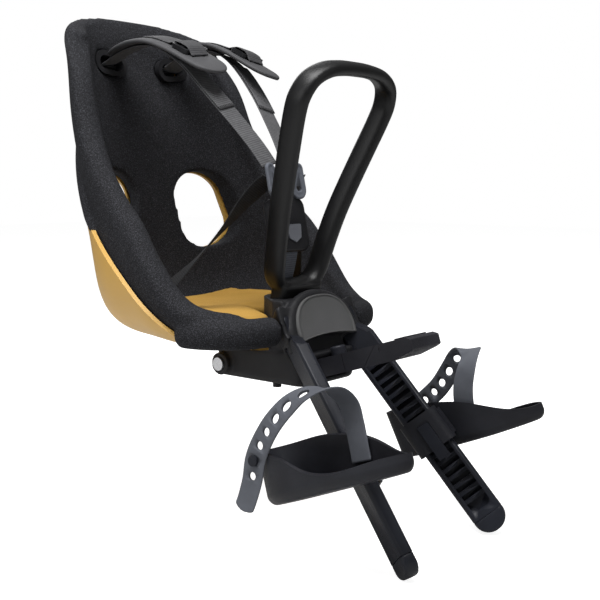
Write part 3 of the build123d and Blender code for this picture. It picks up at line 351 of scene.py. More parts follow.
def rounded_union(name, meshes, voxel, rounds):
    """Closed meshes rebuilt as one on a voxel grid and smoothed, which joins them and rounds edges."""
    piece = linked(name, joined(name, meshes))
    remesh = piece.modifiers.new("voxels", "REMESH")
    remesh.mode = "VOXEL"
    remesh.voxel_size = voxel
    ease = piece.modifiers.new("ease", "SMOOTH")
    ease.factor = EASE_FACTOR
    ease.iterations = rounds
    settle(piece)
    mesh = piece.data
    bpy.data.objects.remove(piece)
    mesh.shade_smooth()
    return mesh


# A rounded rib goes up from one leg's seam, round the nose and down to the other, in the nose's plane.
# The points of its left half are (out to the side, up the nose).
NOSE_FOOT = np.array([0.0, 44.0, 18.0])
NOSE_UP = np.array([0.0, 0.3636, 0.9318])
NOSE_FRONT = forward_of(NOSE_UP)
RIB_SIDE = [(50, -10), (49.5, 2), (47.5, 15), (42, 27), (31, 37), (16, 43)]
RIB_TOP = (0, 45)
RIB_FORWARD = 0.5
RIB = 13.0
RIB_EDGE = 2.5
rib_rows = RIB_SIDE + [RIB_TOP] + [(-across, up) for across, up in RIB_SIDE[::-1]]
rib_points = in_plane(NOSE_FOOT + RIB_FORWARD * NOSE_FRONT, SIDEWAYS, NOSE_UP, rib_rows)
rib_mesh = grid_mesh("nose_rib", *ribbon_grid(*ribbon_frame(rib_points, NOSE_FRONT), RIB, RIB, RIB_EDGE))
# The nose is flat above the legs' seams: what stands in front of its plane there is cut off at a slope.
# The corners of the cut are (forward of the plane, up the nose).
NOSE_CUT = [(4.0, 9.0), (18.0, -5.0), (60.0, -5.0), (60.0, 75.0), (4.0, 75.0)]
NOSE_CUT_HALF_WIDTH = 75.0
nose_cut = in_plane(NOSE_FOOT, NOSE_FRONT, NOSE_UP, NOSE_CUT)
nose_cut_reach = NOSE_CUT_HALF_WIDTH * SIDEWAYS
nose_cutter = block("nose_cutter", nose_cut - nose_cut_reach, nose_cut + nose_cut_reach)
CARRIER_VOXEL = 0.0016
CARRIER_ROUNDS = 5
carrier_copy = merged_copy("carrier", nose_cutter)
carrier_mesh = rounded_union("carrier_form", [carrier_copy, rib_mesh], CARRIER_VOXEL, CARRIER_ROUNDS)
carrier_plastic = grained_plastic("carrier_nylon", srgb(30, 30, 32), srgb(40, 40, 42), 0.44)
housing = placed("carrier_housing", carrier_mesh, carrier_plastic, "seat")
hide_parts("carrier")
dress(carrier_plastic, "carrier_nubs")

# Rear axle and fasteners
# A plated steel axle goes through the carrier's lugs. Plated screws with washers hold the shell down, and
# plated bolts close the clamp.


def plated(place):
    """Bright zinc plate with fine rubbed streaks."""
    streak = place.node("ShaderNodeMapping", {}, {"Vector": place, "Scale": (40.0, 900.0, 900.0)})
    rub = streak.noise(1.0, 4.0)
    return {
        "Base Color": rub.blend(srgb(196, 196, 198), srgb(226, 226, 228)),
        "Metallic": 1.0,
        "Roughness": 0.22 + 0.14 * rub,
    }


plated_steel = surface("plated_steel", plated)
dress(plated_steel, "rear_axle", "shell_bolts", "shell_washers", "clamp_bolts")

# Stem clamp
# Two nylon halves close round the stem on a split rubber sleeve. A domed bolt head and a long flip-up
# lever with a ribbed end tighten them.
clamp_plastic = grained_plastic("clamp_nylon", srgb(30, 30, 34), srgb(41, 41, 46), 0.36)
dress(clamp_plastic, "clamp_block", "clamp_front", "clamp_lever", "lever_pin")
dress(grained_plastic("knob_nylon", srgb(30, 31, 36), srgb(42, 43, 50), 0.3), "clamp_knob")


def soft_rubber(place):
    """Grey moulded rubber with a dusty sheen."""
    dust = place.noise(90.0, 4.0)
    return {
        "Base Color": dust.blend(srgb(70, 72, 78), srgb(84, 87, 94)),
        "Roughness": 0.62 + 0.12 * dust,
        "Specular IOR Level": 0.3,
        "Normal": place.noise(1500.0, 2.0).relief(0.00004),
    }


strap_rubber = surface("strap_rubber", soft_rubber)
dress(strap_rubber, "clamp_shim")

# Legs
# Each leg is a satin nylon bar with a ladder of rungs in its inner face and a separate rounded end.
# Its root sits in a socket of the carrier, and the cut at the nose trims its top as well.
SIDES = {"left": 1.0, "right": -1.0}
END_VOXEL = 0.0009
END_ROUNDS = 14
leg_plastic = grained_plastic("leg_nylon", srgb(24, 25, 30), srgb(33, 35, 42), 0.32, 3000.0, 0.00003)
for side_name in SIDES:
    bar_mesh = merged_copy(f"leg_{side_name}", nose_cutter)
    bar = placed(f"leg_bar_{side_name}", bar_mesh, leg_plastic, "seat")
    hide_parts(f"leg_{side_name}")
    end_mesh = rounded_union("end_form", [merged_copy(f"leg_end_cap_{side_name}")], END_VOXEL, END_ROUNDS)
    end = placed(f"leg_end_{side_name}", end_mesh, leg_plastic, "seat")
    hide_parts(f"leg_end_cap_{side_name}")

# Footrests
# A thin cup moulded in nylon holds the foot. Its sleeve slides on the leg, a catch in the sleeve bites
# between the rungs, and a stud at the heel takes the strap.
cup_plastic = grained_plastic("cup_nylon", srgb(25, 25, 29), srgb(35, 36, 41), 0.4)
for side_name in SIDES:
    dress(cup_plastic, f"footrest_{side_name}")
    dress(leg_plastic, f"height_latch_{side_name}", f"strap_stud_{side_name}")

# Foot straps
# A moulded rubber strap comes up from inside the cup, goes over the foot and hooks on the stud at the heel.
# Its oval holes give the fit.
LEG_TOP = np.array([49.0, 42.0, 19.5])
LEG_TILT = math.radians(40.0)
LEG_SPLAY = math.radians(7.15)
SOLE_TILT = math.radians(17.6)
CUP_DOWN, CUP_OUT = 132.7, 8.0
# The cup's frame: along the foot to the toes, out from the leg, and up from the sole
leg_front = np.array([0.0, -math.cos(LEG_TILT), math.sin(LEG_TILT)])
leg_fall = np.array([0.0, -math.sin(LEG_TILT), -math.cos(LEG_TILT)])
leg_down = math.sin(LEG_SPLAY) * SIDEWAYS + math.cos(LEG_SPLAY) * leg_fall
cup_out = np.cross(leg_front, leg_down)
cup_toes = math.cos(SOLE_TILT) * leg_front + math.sin(SOLE_TILT) * leg_down
cup_up = math.sin(SOLE_TILT) * leg_front - math.cos(SOLE_TILT) * leg_down
cup_axes = np.stack([cup_toes, cup_out, cup_up])
cup_origin = LEG_TOP + CUP_DOWN * leg_down + CUP_OUT * cup_out
FOOT_STRAP_POINTS = [
    (33, 18.4, -6), (34, 18.4, 12), (35, 18.8, 31), (38, 25, 49), (37, 42, 61), (22, 56, 63), (2, 63, 57),
    (-18, 67, 46), (-36, 68.5, 32), (-49, 69.2, 17.5), (-58, 69.5, 1), (-68, 71.5, -15), (-74, 74, -24),
]
FOOT_STRAP_FACES = [
    (0, -1, 0), (0, -1, 0), (0, -1, 0.2), (0, -0.8, 0.6), (0, 0, 1), (0.1, 0.6, 0.8), (0.2, 0.9, 0.4),
    (0.2, 0.95, 0.2), (0.2, 0.95, 0.1), (0.2, 0.97, 0), (0.2, 0.97, 0.1), (0.2, 0.95, 0.2),
    (0.2, 0.95, 0.2),
]
FOOT_STRAP_WIDTH = 23.0
FOOT_STRAP = 2.4
FOOT_STRAP_EDGE = 12.0
# Share of the strap's length that its round tip takes, and the tip's least share of the width
STRAP_TIP, STRAP_TIP_LEAST = 0.04, 0.05
# The left strap's crest hangs further towards the toes
STRAP_LEAN = {"left": 17.0, "right": 0.0}
STRAP_LEAN_SHARES = [0, 0.15, 0.5, 0.85, 1.0, 1.1, 1.3, 1.45, 1.2, 0, 0, 0, 0]
STUD_POINT = 9
# Holes as (millimetres along the strap from the stud, half length), the long ones near the top
STRAP_HOLES = [(15, 3.9), (0, 3.9), (-15, 4.1), (-30, 4.3), (-46, 5.2), (-64, 6.0), (-83, 6.2)]
HOLE_HALF_WIDTH = 4.0
HOLE_REACH = 8.0
HOLE_SIDES = 28


def piece_of_grid(name, grid, chart, side, material, body, slot):
    """Object of a grid's closed mesh."""
    return placed(name, grid_mesh(name, grid, chart, side), material, body)


def rounded_tip(rows, tip, least):
    """Share of a strap's width in each row: full, then a quarter of an ellipse over the tip's share of the
    length, and never below the least share."""
    into = np.clip((np.linspace(0.0, 1.0, rows) - (1 - tip)) / tip, 0, 1)
    return np.sqrt(np.clip(1 - into**2, least, 1))


def holes_cut(piece, places):
    """Cuts oval holes through a piece: places hold a centre, the directions across, along and out, and half
    the oval's length."""
    turn = np.linspace(0.0, 2 * math.pi, HOLE_SIDES, endpoint=False)
    cutters = []
    for centre, across, along, out, half_length in places:
        rows = np.stack([HOLE_HALF_WIDTH * np.cos(turn), half_length * np.sin(turn)], axis=1)
        oval = in_plane(centre, across, along, rows)
        cutters.append(block("hole_cutter", oval - HOLE_REACH * out, oval + HOLE_REACH * out))
    cutting_mesh = joined("hole_cutters", cutters)
    cutting_mesh.shade_flat()
    cut_away(piece, cutting_mesh)


for side_name, side in SIDES.items():
    strap_rows = np.array(FOOT_STRAP_POINTS, float)
    strap_rows[:, 0] += STRAP_LEAN[side_name] * np.array(STRAP_LEAN_SHARES)
    strap_faces = np.array(FOOT_STRAP_FACES, float) @ cup_axes
    path, across, out = ribbon_frame(cup_origin + strap_rows @ cup_axes, strap_faces)
    width = FOOT_STRAP_WIDTH * rounded_tip(len(path), STRAP_TIP, STRAP_TIP_LEAST)
    grid, chart = ribbon_grid(path, across, out, width, FOOT_STRAP, FOOT_STRAP_EDGE)
    band_name, body = f"foot_band_{side_name}", f"{side_name}_footrest"
    strap = piece_of_grid(band_name, grid, chart, side, strap_rubber, body, "rubber")
    flip = np.array([side, 1, 1])
    reach = lengths_along(path)
    places = []
    for distance, half_length in STRAP_HOLES:
        row = int(np.argmin(np.abs(reach - reach[STUD_POINT * STRAP_STEPS] - distance)))
        along = np.cross(out[row], across[row])
        turned = [vector * flip for vector in (path[row], across[row], along, out[row])]
        places.append((*turned, half_length))
    holes_cut(strap, places)
    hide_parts(f"foot_strap_{side_name}")

# Outer shell
# A satin tan shell, injection moulded in one piece, wraps the foam from below and behind. Four screws hold
# it to the carrier.


def shell_paint(place):
    """Tan plastic with a slight orange-peel surface."""
    cloud = place.noise(9.0, 3.0)
    orange_peel = place.noise(420.0, 2.0)
    return {
        "Base Color": cloud.between(0.25, 0.8).blend(srgb(192, 150, 68), srgb(201, 159, 76)),
        "Roughness": 0.36 + 0.1 * cloud,
        "Specular IOR Level": 0.4,
        "Normal": orange_peel.relief(0.00005),
    }


dress(surface("shell_plastic", shell_paint), "outer_shell")

# Foam bucket
# The liner is moulded from expanded beads: charcoal foam with fine lighter bead marks and soft edges
# round the rim, the vents and the strap slots. Its rim is wrapped over the shell's front edge.
FOAM_VOXEL = 0.0024
FOAM_ROUNDS = 12
# The wrap runs below the shoulders, on both sides
WRAP_POINTS = [
    (96, 321, 316), (97.5, 318, 298), (96.5, 315.5, 276), (97, 312, 254), (101, 305.5, 233),
    (107, 298.5, 214), (115, 289.5, 197), (121, 281, 180), (126, 271.5, 165), (130.5, 262, 152),
    (134, 253, 139), (138, 240, 125),
]
WRAP_WIDTHS = [8, 14, 17, 20, 25, 29, 31, 31, 29, 22, 13, 5]
WRAP_FACE = (0.75, 0.66, 0.0)
WRAP = 7.4
WRAP_EDGE = 4.0


def smooth_values(values):
    """Single numbers along a strap, one for each of its points, made smooth as the points are."""
    return smooth_rows(np.array(values, float)[:, None], STRAP_STEPS)[:, 0]


def bead_foam(place):
    """Bead foam: shallow cells with lighter specks."""
    beads = place.cells(340.0)
    marks = place.noise(1100.0, 3.0)
    cloud = place.noise(7.0, 3.0)
    speck = marks.between(0.46, 0.74)
    return {
        "Base Color": speck.blend(srgb(30, 30, 32), srgb(66, 67, 72)),
        "Roughness": 0.78 + 0.12 * cloud,
        "Specular IOR Level": 0.1,
        "Normal": (beads.between(0.0, 0.7) + 0.6 * marks).relief(0.0004, 0.7),
    }


wrap_path = ribbon_frame(WRAP_POINTS, WRAP_FACE)
wrap_grid = ribbon_grid(*wrap_path, smooth_values(WRAP_WIDTHS), WRAP, WRAP_EDGE)
wraps = [grid_mesh("rim_wrap", *wrap_grid, side) for side in SIDES.values()]
foam_mesh = rounded_union("foam_form", [merged_copy("foam_liner"), *wraps], FOAM_VOXEL, FOAM_ROUNDS)
foam = placed("foam_bucket", foam_mesh, surface("bead_foam", bead_foam), "seat")
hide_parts("foam_liner")

# Seat pad
# A thin removable cushion of tan woven cloth lies in the pan. It is sewn all round, and its front is cut
# like a fish tail round the carrier's nose.
PAD_VOXEL = 0.004
PAD_ROUNDS = 3
PAD_TUCK = 0.007
PAD_TUCK_FROM, PAD_TUCK_OVER = 0.10, 0.12
PAD_SPREAD = 0.05
PAD_PRESSURE = 4.0
PAD_STIFFNESS = 30.0
PAD_FRAMES = 20
PAD_CAP = 0.004
LEAST_MOVE = 1e-9


def vertex_places(mesh):
    """Places of a mesh's vertices, one row each."""
    places = np.empty(len(mesh.vertices) * 3)
    mesh.vertices.foreach_get("co", places)
    return places.reshape(-1, 3)


def pad_cloth(place):
    """Plain weave: threads both ways, and a cloudy change of shade."""
    def threads(direction):
        settings = {"wave_type": "BANDS", "bands_direction": direction}
        sockets = {"Vector": place, "Scale": 300.0, "Distortion": 1.2, "Detail Scale": 2.0}
        return place.node("ShaderNodeTexWave", settings, sockets)
    weave = threads("X") * 0.5 + threads("Y") * 0.5
    shade = (weave * 0.35 + place.noise(14.0, 4.0) * 0.65).between(0.2, 0.8)
    return {
        "Base Color": shade.blend(srgb(156, 119, 52), srgb(182, 143, 70)),
        "Roughness": 0.82,
        "Specular IOR Level": 0.2,
        "Normal": weave.relief(0.00025, 0.6),
    }


pad_mesh = rounded_union("pad_form", [merged_copy("seat_pad")], PAD_VOXEL, PAD_ROUNDS)
# Its back and side edges are tucked into the foam's corner, so that they end in a clean line
places = vertex_places(pad_mesh)
back = np.clip((places[:, 1] - PAD_TUCK_FROM) / PAD_TUCK_OVER, 0, 1)
places[:, 1] += PAD_TUCK * back**2
places[:, 0] *= 1 + PAD_SPREAD * back
pad_mesh.vertices.foreach_set("co", places.ravel())
pad = placed("seat_cushion", pad_mesh, surface("pad_cloth", pad_cloth), "seat")
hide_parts("seat_pad")
# The filling swells the cloth, and no point moves further than the cap
start = vertex_places(pad.data)
cloth = pad.modifiers.new("filling", "CLOTH")
cloth.settings.use_pressure = True
cloth.settings.uniform_pressure_force = PAD_PRESSURE
cloth.settings.effector_weights.gravity = 0.0
cloth.settings.tension_stiffness = PAD_STIFFNESS
cloth.settings.compression_stiffness = PAD_STIFFNESS
for number in range(1, PAD_FRAMES + 1):
    scene.frame_set(number)
settle(pad)
scene.frame_set(1)
move = vertex_places(pad.data) - start
distance = np.linalg.norm(move, axis=1, keepdims=True)
capped = start + move * np.minimum(1.0, PAD_CAP / np.maximum(distance, LEAST_MOVE))
pad.data.vertices.foreach_set("co", capped.ravel())
round_off = pad.modifiers.new("round_off", "SUBSURF")
round_off.levels = 1
round_off.render_levels = 1
pad.data.shade_smooth()

# Grab loop and top cover
# The loop is a steel hoop covered in soft black rubber, on a post that sits in the carrier. A grey cover
# closes the carrier's nose below it.


def loop_skin(place):
    """Black rubber with a satin sheen."""
    dust = place.noise(60.0, 4.0)
    return {
        "Base Color": dust.blend(srgb(11, 11, 12), srgb(17, 17, 18)),
        "Roughness": 0.34 + 0.12 * dust,
        "Specular IOR Level": 0.3,
        "Normal": place.cells(2600.0).relief(0.00003),
    }


# The loop's left half as (out to the side, up the loop), between the middles of its foot and its top
LOOP_FOOT = np.array([0.0, 73.0, 63.0])
LOOP_UP = np.array([0.0, -0.2622, 0.9650])
LOOP_FRONT = forward_of(LOOP_UP)
LOOP_START, LOOP_CREST, LOOP_END = (0, 2), (0, 233), (-2, 2)
LOOP_SIDE = [
    (15, 3), (26, 7), (34, 18), (37.5, 34), (41, 55), (46.5, 84), (53.5, 117), (61, 150), (68.5, 185),
    (69, 203), (61, 219), (43, 229), (21, 232.5),
]
# The loop's foot stands back from its plane, and above the bend it leans forward past it
LOOP_BACK, LOOP_LEAD = 14.0, 5.0
LOOP_BEND, LOOP_TOP = 70.0, 234.0
LOOP_BEND_POWER = 1.2
LOOP_BAR, LOOP_DEPTH = 14.0, 25.0
LOOP_EDGE = 2.6
LOOP_VOXEL = 0.0014
LOOP_ROUNDS = 6
POST_BACK = 8.0
POST_HALF_WIDTH, POST_DEPTH = 32.0, 21.0
POST_LEVELS = (-24.0, 7.0)
POST_EDGE = 6.0
POST_POINTS = 48
half_loop = np.array(LOOP_SIDE, float)
ring_rows = np.vstack([LOOP_START, half_loop, LOOP_CREST, half_loop[::-1] * (-1, 1), LOOP_END])
rise = np.clip((ring_rows[:, 1:] - LOOP_BEND) / (LOOP_TOP - LOOP_BEND), 0, 1)
shift = -LOOP_BACK + (LOOP_BACK + LOOP_LEAD) * rise**LOOP_BEND_POWER
ring_points = in_plane(LOOP_FOOT, SIDEWAYS, LOOP_UP, ring_rows) + shift * LOOP_FRONT
ring_path = ribbon_frame(ring_points, LOOP_FRONT)
ring_mesh = grid_mesh("loop_ring", *ribbon_grid(*ring_path, LOOP_BAR, LOOP_DEPTH, LOOP_EDGE))
turn = np.linspace(0.0, 2 * math.pi, POST_POINTS, endpoint=False)
post_x = POST_HALF_WIDTH * squared_off(np.cos(turn), POST_EDGE)
post_y = 0.5 * POST_DEPTH * squared_off(np.sin(turn), POST_EDGE) - POST_BACK
post_line = in_plane(LOOP_FOOT, SIDEWAYS, LOOP_FRONT, np.stack([post_x, post_y], axis=1))
post_mesh = block("loop_post", *[post_line + level * LOOP_UP for level in POST_LEVELS])
grip_mesh = rounded_union("loop_form", [ring_mesh, post_mesh], LOOP_VOXEL, LOOP_ROUNDS)
grip = placed("loop_grip", grip_mesh, surface("loop_rubber", loop_skin), "seat")
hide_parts("grab_loop")
# The cover's outline: a round arch on short straight sides, and a foot that is hollow in its middle
COVER_HALF_WIDTH = 46.0
COVER_STRAIGHT, COVER_ARCH = 6.0, 38.0
COVER_SIDE_EDGE, COVER_TOP_EDGE = 2.5, 2.2
COVER_HOLLOW, COVER_DROP = 4.0, 2.0
COVER_ARCH_POINTS, COVER_FOOT_POINTS = 61, 25
COVER_MIDDLE = np.array([0.0, 20.0])
COVER_FORWARD = 7.6
# Rows from its face round its edge to its back, as (inset, height)
COVER_ROWS = [
    (4.6, 1.4), (4.2, 1.4), (3.8, 2.0), (1.4, 2.0), (0.4, 1.6), (0.0, 0.8), (0.0, -8.0), (3.0, -8.0),
]
arch = np.linspace(0.0, math.pi, COVER_ARCH_POINTS)
arch_x = COVER_HALF_WIDTH * squared_off(np.cos(arch), COVER_SIDE_EDGE)
arch_v = COVER_STRAIGHT + COVER_ARCH * squared_off(np.sin(arch), COVER_TOP_EDGE)
foot_x = np.linspace(-COVER_HALF_WIDTH, COVER_HALF_WIDTH, COVER_FOOT_POINTS)
foot_v = COVER_HOLLOW * (1 - (foot_x / COVER_HALF_WIDTH) ** 2) - COVER_DROP
cover_line = np.stack([np.concatenate([arch_x, foot_x]), np.concatenate([arch_v, foot_v])], axis=1)
cover_rings = [
    COVER_MIDDLE + (cover_line - COVER_MIDDLE) * (1 - inset / COVER_HALF_WIDTH) for inset, _ in COVER_ROWS
]
cover_grid = np.stack([
    in_plane(NOSE_FOOT, SIDEWAYS, NOSE_UP, ring) + (COVER_FORWARD + height) * NOSE_FRONT
    for ring, (_, height) in zip(cover_rings, COVER_ROWS)
])
cover_plastic = grained_plastic("cover_plastic", srgb(78, 78, 78), srgb(86, 86, 87), 0.55)
cover_chart = np.stack(cover_rings)
cover = piece_of_grid("nose_cover", cover_grid, cover_chart, 1.0, cover_plastic, "seat", "cover")
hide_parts("top_cover")

# Grommets, adjusters, tongues and buckle
# Small glossy moulded parts of the harness, which the straps pass through or end in. The buckle has a grey
# press button in its face.
trim_plastic = grained_plastic("trim_plastic", srgb(26, 26, 28), srgb(38, 38, 40), 0.3, 3200.0, 0.00002)
dress(trim_plastic, "slot_ring_left", "slot_ring_right", "strap_adjuster_left", "strap_adjuster_right")
tongue_plastic = grained_plastic("tongue_plastic", srgb(84, 87, 94), srgb(98, 101, 109), 0.42)
BUCKLE_UP = np.array([0.0, 0.2079, 0.9781])
BUCKLE_FRONT = forward_of(BUCKLE_UP)
TONGUE_PLACE = np.array([17.5, 93.0, 170.0])
TONGUE_LEAN = math.radians(14.0)
TONGUE_BIG, TONGUE_SMALL, TONGUE_REACH = 11.5, 6.0, 22.0
TONGUE_BIG_POINTS, TONGUE_SMALL_POINTS = 40, 24
TONGUE_THICK = 4.0
TONGUE_HOLE_HALF_LENGTH = 3.1
# Rows from the tongue's face to its edge, as (inset, drop below the face)
TONGUE_ROWS = [(5.0, 0.5), (3.4, 0.5), (2.8, 0.0), (0.9, 0.0), (0.25, 0.3), (0.0, 0.9)]


def drop_rows(inset):
    """Outline of a drop: a big and a small circle joined by their common tangents, drawn in by an inset."""
    lean = math.asin((TONGUE_BIG - TONGUE_SMALL) / TONGUE_REACH)
    big = np.linspace(math.pi - lean, 2 * math.pi + lean, TONGUE_BIG_POINTS)
    small = np.linspace(lean, math.pi - lean, TONGUE_SMALL_POINTS)
    low = (TONGUE_BIG - inset) * np.stack([np.cos(big), np.sin(big)], axis=1)
    high = (TONGUE_SMALL - inset) * np.stack([np.cos(small), np.sin(small)], axis=1) + (0, TONGUE_REACH)
    return np.vstack([low, high])


tongue_up = math.cos(TONGUE_LEAN) * BUCKLE_UP + math.sin(TONGUE_LEAN) * SIDEWAYS
tongue_side = math.cos(TONGUE_LEAN) * SIDEWAYS - math.sin(TONGUE_LEAN) * BUCKLE_UP
face_rows = [(inset, TONGUE_THICK / 2 - drop) for inset, drop in TONGUE_ROWS]
plate_rows = face_rows + [(inset, -height) for inset, height in face_rows[::-1]]
tongue_chart = np.stack([drop_rows(inset) for inset, _ in plate_rows])
tongue_grid = np.stack([
    in_plane(TONGUE_PLACE, tongue_side, tongue_up, ring) + height * BUCKLE_FRONT
    for ring, (_, height) in zip(tongue_chart, plate_rows)
])
for side_name, side in SIDES.items():
    plate_name = f"tongue_plate_{side_name}"
    tongue = piece_of_grid(plate_name, tongue_grid, tongue_chart, side, tongue_plastic, "seat", "trim")
    flip = np.array([side, 1, 1])
    hole = [vector * flip for vector in (TONGUE_PLACE, tongue_side, tongue_up, BUCKLE_FRONT)]
    holes_cut(tongue, [(*hole, TONGUE_HOLE_HALF_LENGTH)])
    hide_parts(f"tongue_{side_name}")
dress(trim_plastic, "buckle_body", "strap_bar_left", "strap_bar_right")
dress(grained_plastic("button_plastic", srgb(92, 94, 100), srgb(108, 110, 116), 0.42), "buckle_button")

# Harness webbing
# Flat polyester straps, woven with a fine rib across them and firm edges. Each shoulder strap is folded
# back on itself and sewn above its tongue.
WEB_WIDTH = 25.0
WEB = 2.0
SHOULDER_DARK, SHOULDER_LIGHT = srgb(60, 60, 62), srgb(90, 90, 92)
THREAD = srgb(16, 16, 17)
# Rows of the shoulder strap's mesh under the fold, the fold's lift above them and its width
FOLD_ROWS = slice(56, 77)
FOLD_LIFT = 2.05
FOLD_WIDTH = 24.4
# The straps' faces look away from these places
STRAP_CENTRE = np.array([30.0, 262.0, 215.0])
CROTCH_CENTRE = np.array([0.0, 160.0, 80.0])
SHOULDER_POINTS = [
    (47, 320, 309), (47, 309, 312.5), (46.5, 290, 320), (46, 262, 325), (45, 235, 323), (43.5, 212, 313),
    (40.5, 190, 296), (36, 165, 270), (28, 140, 242), (20.5, 118, 215), (15, 104, 194),
]
LAP_POINTS = [
    (112, 186, 47), (100, 173, 66), (78, 154, 95), (55, 136, 127), (37, 121, 155), (28, 108, 171),
    (23, 98, 180),
]
LAP_FACES = [
    (0.81, 0.07, 0.58), (0.78, 0.15, 0.6), (0.55, 0.45, 0.65), (0.38, 0.64, 0.65), (0.05, 0.8, 0.55),
    (-0.1, 0.87, 0.47), (-0.1, 0.87, 0.47),
]
CROTCH_POINTS = [(0, 88.9, 107), (0, 92.5, 90), (0, 98, 70), (0, 100.5, 50)]


def woven_web(place, dark, light):
    """Ribs across a strap and finer threads along it, both sines of its chart, in two shades."""
    rib = place.part(1).sine(2600.0)
    warp = place.part(0).sine(5200.0)
    cloud = place.noise(160.0, 3.0)
    lift = rib * 0.5 + warp * 0.3 + 0.5
    return {
        "Base Color": (0.4 * lift + 0.6 * cloud).between(0.15, 0.85).blend(dark, light),
        "Roughness": 0.74,
        "Specular IOR Level": 0.3,
        "Normal": lift.relief(0.00018, 0.7),
    }


def webbing(name, dark, light):
    """Material of a strap woven in two shades."""
    def describe(place):
        return woven_web(place, dark, light)
    return surface(name, describe, uv=True)


def sewn_web(place):
    """Webbing with a row of thread near its end, where the chart's second value is zero."""
    values = woven_web(place, SHOULDER_DARK, SHOULDER_LIGHT)
    back = 0.0 - place.part(1)
    stitch = place.part(0).sine(2400.0).between(-0.4, 0.2)
    row = back.between(0.0012, 0.0018) * (1.0 - back.between(0.0030, 0.0036))
    values["Base Color"] = (row * stitch).blend(values["Base Color"], THREAD)
    return values


shoulder_webbing = webbing("harness_webbing", SHOULDER_DARK, SHOULDER_LIGHT)
sewn_webbing = surface("sewn_webbing", sewn_web, uv=True)
lap_webbing = webbing("lap_webbing", srgb(18, 18, 19), srgb(36, 36, 38))
crotch_webbing = webbing("crotch_webbing", srgb(74, 77, 84), srgb(100, 103, 111))
shoulder_points = np.array(SHOULDER_POINTS, float)
path, across, out = ribbon_frame(shoulder_points, shoulder_points - STRAP_CENTRE)
shoulder_grid = ribbon_grid(path, across, out, WEB_WIDTH, WEB)
fold_path = [rows[FOLD_ROWS] for rows in (path + FOLD_LIFT * out, across, out)]
fold_grid, fold_chart = ribbon_grid(*fold_path, FOLD_WIDTH, WEB)
fold_chart[:, :, 1] -= fold_chart[:, :, 1].max()
lap_grid = ribbon_grid(*ribbon_frame(LAP_POINTS, LAP_FACES), WEB_WIDTH, WEB)
for side_name, side in SIDES.items():
    web_name = f"shoulder_web_{side_name}"
    strap = piece_of_grid(web_name, *shoulder_grid, side, shoulder_webbing, "seat", "webbing")
    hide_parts(f"shoulder_strap_{side_name}")
    piece_of_grid(f"sewn_fold_{side_name}", fold_grid, fold_chart, side, sewn_webbing, "seat", "webbing")
    strap = piece_of_grid(f"lap_web_{side_name}", *lap_grid, side, lap_webbing, "seat", "webbing")
    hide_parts(f"lap_strap_{side_name}")
crotch_points = np.array(CROTCH_POINTS, float)
crotch_path = ribbon_frame(crotch_points, crotch_points - CROTCH_CENTRE)
crotch_grid = ribbon_grid(*crotch_path, WEB_WIDTH, WEB)
strap = piece_of_grid("crotch_web", *crotch_grid, 1.0, crotch_webbing, "seat", "webbing")
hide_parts("crotch_strap")

# Shoulder pads
# A moulded soft paddle lies on each shoulder strap, narrow at the back and round at its free end. A thin
# strap lies on the paddle and goes over the adjuster.
PADDLE_POINTS = [
    (47, 303, 320.4), (46.5, 288, 325.4), (46, 262, 329.9), (45.5, 235, 328.4), (44.5, 205, 318.4),
    (43, 172, 302.4), (42, 146, 289.4),
]
PADDLE_WIDTHS = [30.0, 40.0, 46.0, 46.0, 46.0, 44.0, 40.0]
PADDLE = 6.0
PADDLE_EDGE = 7.0
PADDLE_TIP, PADDLE_TIP_LEAST = 0.14, 0.02
# Share of its thickness that the paddle keeps at its tip
PADDLE_TIP_THICK = 0.35
# The thin strap as (distance along the paddle from the adjuster, height above the paddle)
KEEPER_STEPS = [
    (-58, 0.8), (-40, 1.0), (-22, 1.2), (-14, 4.0), (-8, 6.6), (0, 7.2), (8, 6.6), (13, 3.6), (17, 1.0),
]
KEEPER_DIVISIONS = 8
KEEPER_WIDTH = 24.0
KEEPER = 1.6
# The adjuster lies this far past one of the paddle's points
ADJUSTER_POINT = 4
ADJUSTER_PAST = 14.0


def paddle_skin(place):
    """Grey soft rubber with a fine grain."""
    dust = place.noise(110.0, 4.0)
    return {
        "Base Color": dust.blend(srgb(54, 54, 56), srgb(66, 66, 68)),
        "Roughness": 0.6 + 0.14 * dust,
        "Specular IOR Level": 0.3,
        "Normal": place.cells(1800.0).relief(0.00006),
    }


paddle_rubber = surface("paddle_rubber", paddle_skin)
keeper_webbing = webbing("keeper_webbing", srgb(40, 40, 42), srgb(66, 66, 68))
paddle_points = np.array(PADDLE_POINTS, float)
path, across, out = ribbon_frame(paddle_points, paddle_points - STRAP_CENTRE)
tip = rounded_tip(len(path), PADDLE_TIP, PADDLE_TIP_LEAST)
thickness = PADDLE * (PADDLE_TIP_THICK + (1 - PADDLE_TIP_THICK) * tip)
paddle_grid = ribbon_grid(path, across, out, smooth_values(PADDLE_WIDTHS) * tip, thickness, PADDLE_EDGE)
reach = lengths_along(path)
steps = smooth_rows(KEEPER_STEPS, KEEPER_DIVISIONS)
spots = reach[ADJUSTER_POINT * STRAP_STEPS] + ADJUSTER_PAST + steps[:, 0]
keeper_base, keeper_lift, keeper_across = [
    np.stack([np.interp(spots, reach, rows[:, axis]) for axis in range(3)], axis=1)
    for rows in (path, out, across)
]
keeper_path = keeper_base + keeper_lift * (PADDLE / 2 + steps[:, 1:])
keeper_out = unit(np.cross(keeper_across, unit(np.gradient(keeper_path, axis=0))))
keeper_grid = ribbon_grid(keeper_path, keeper_across, keeper_out, KEEPER_WIDTH, KEEPER)
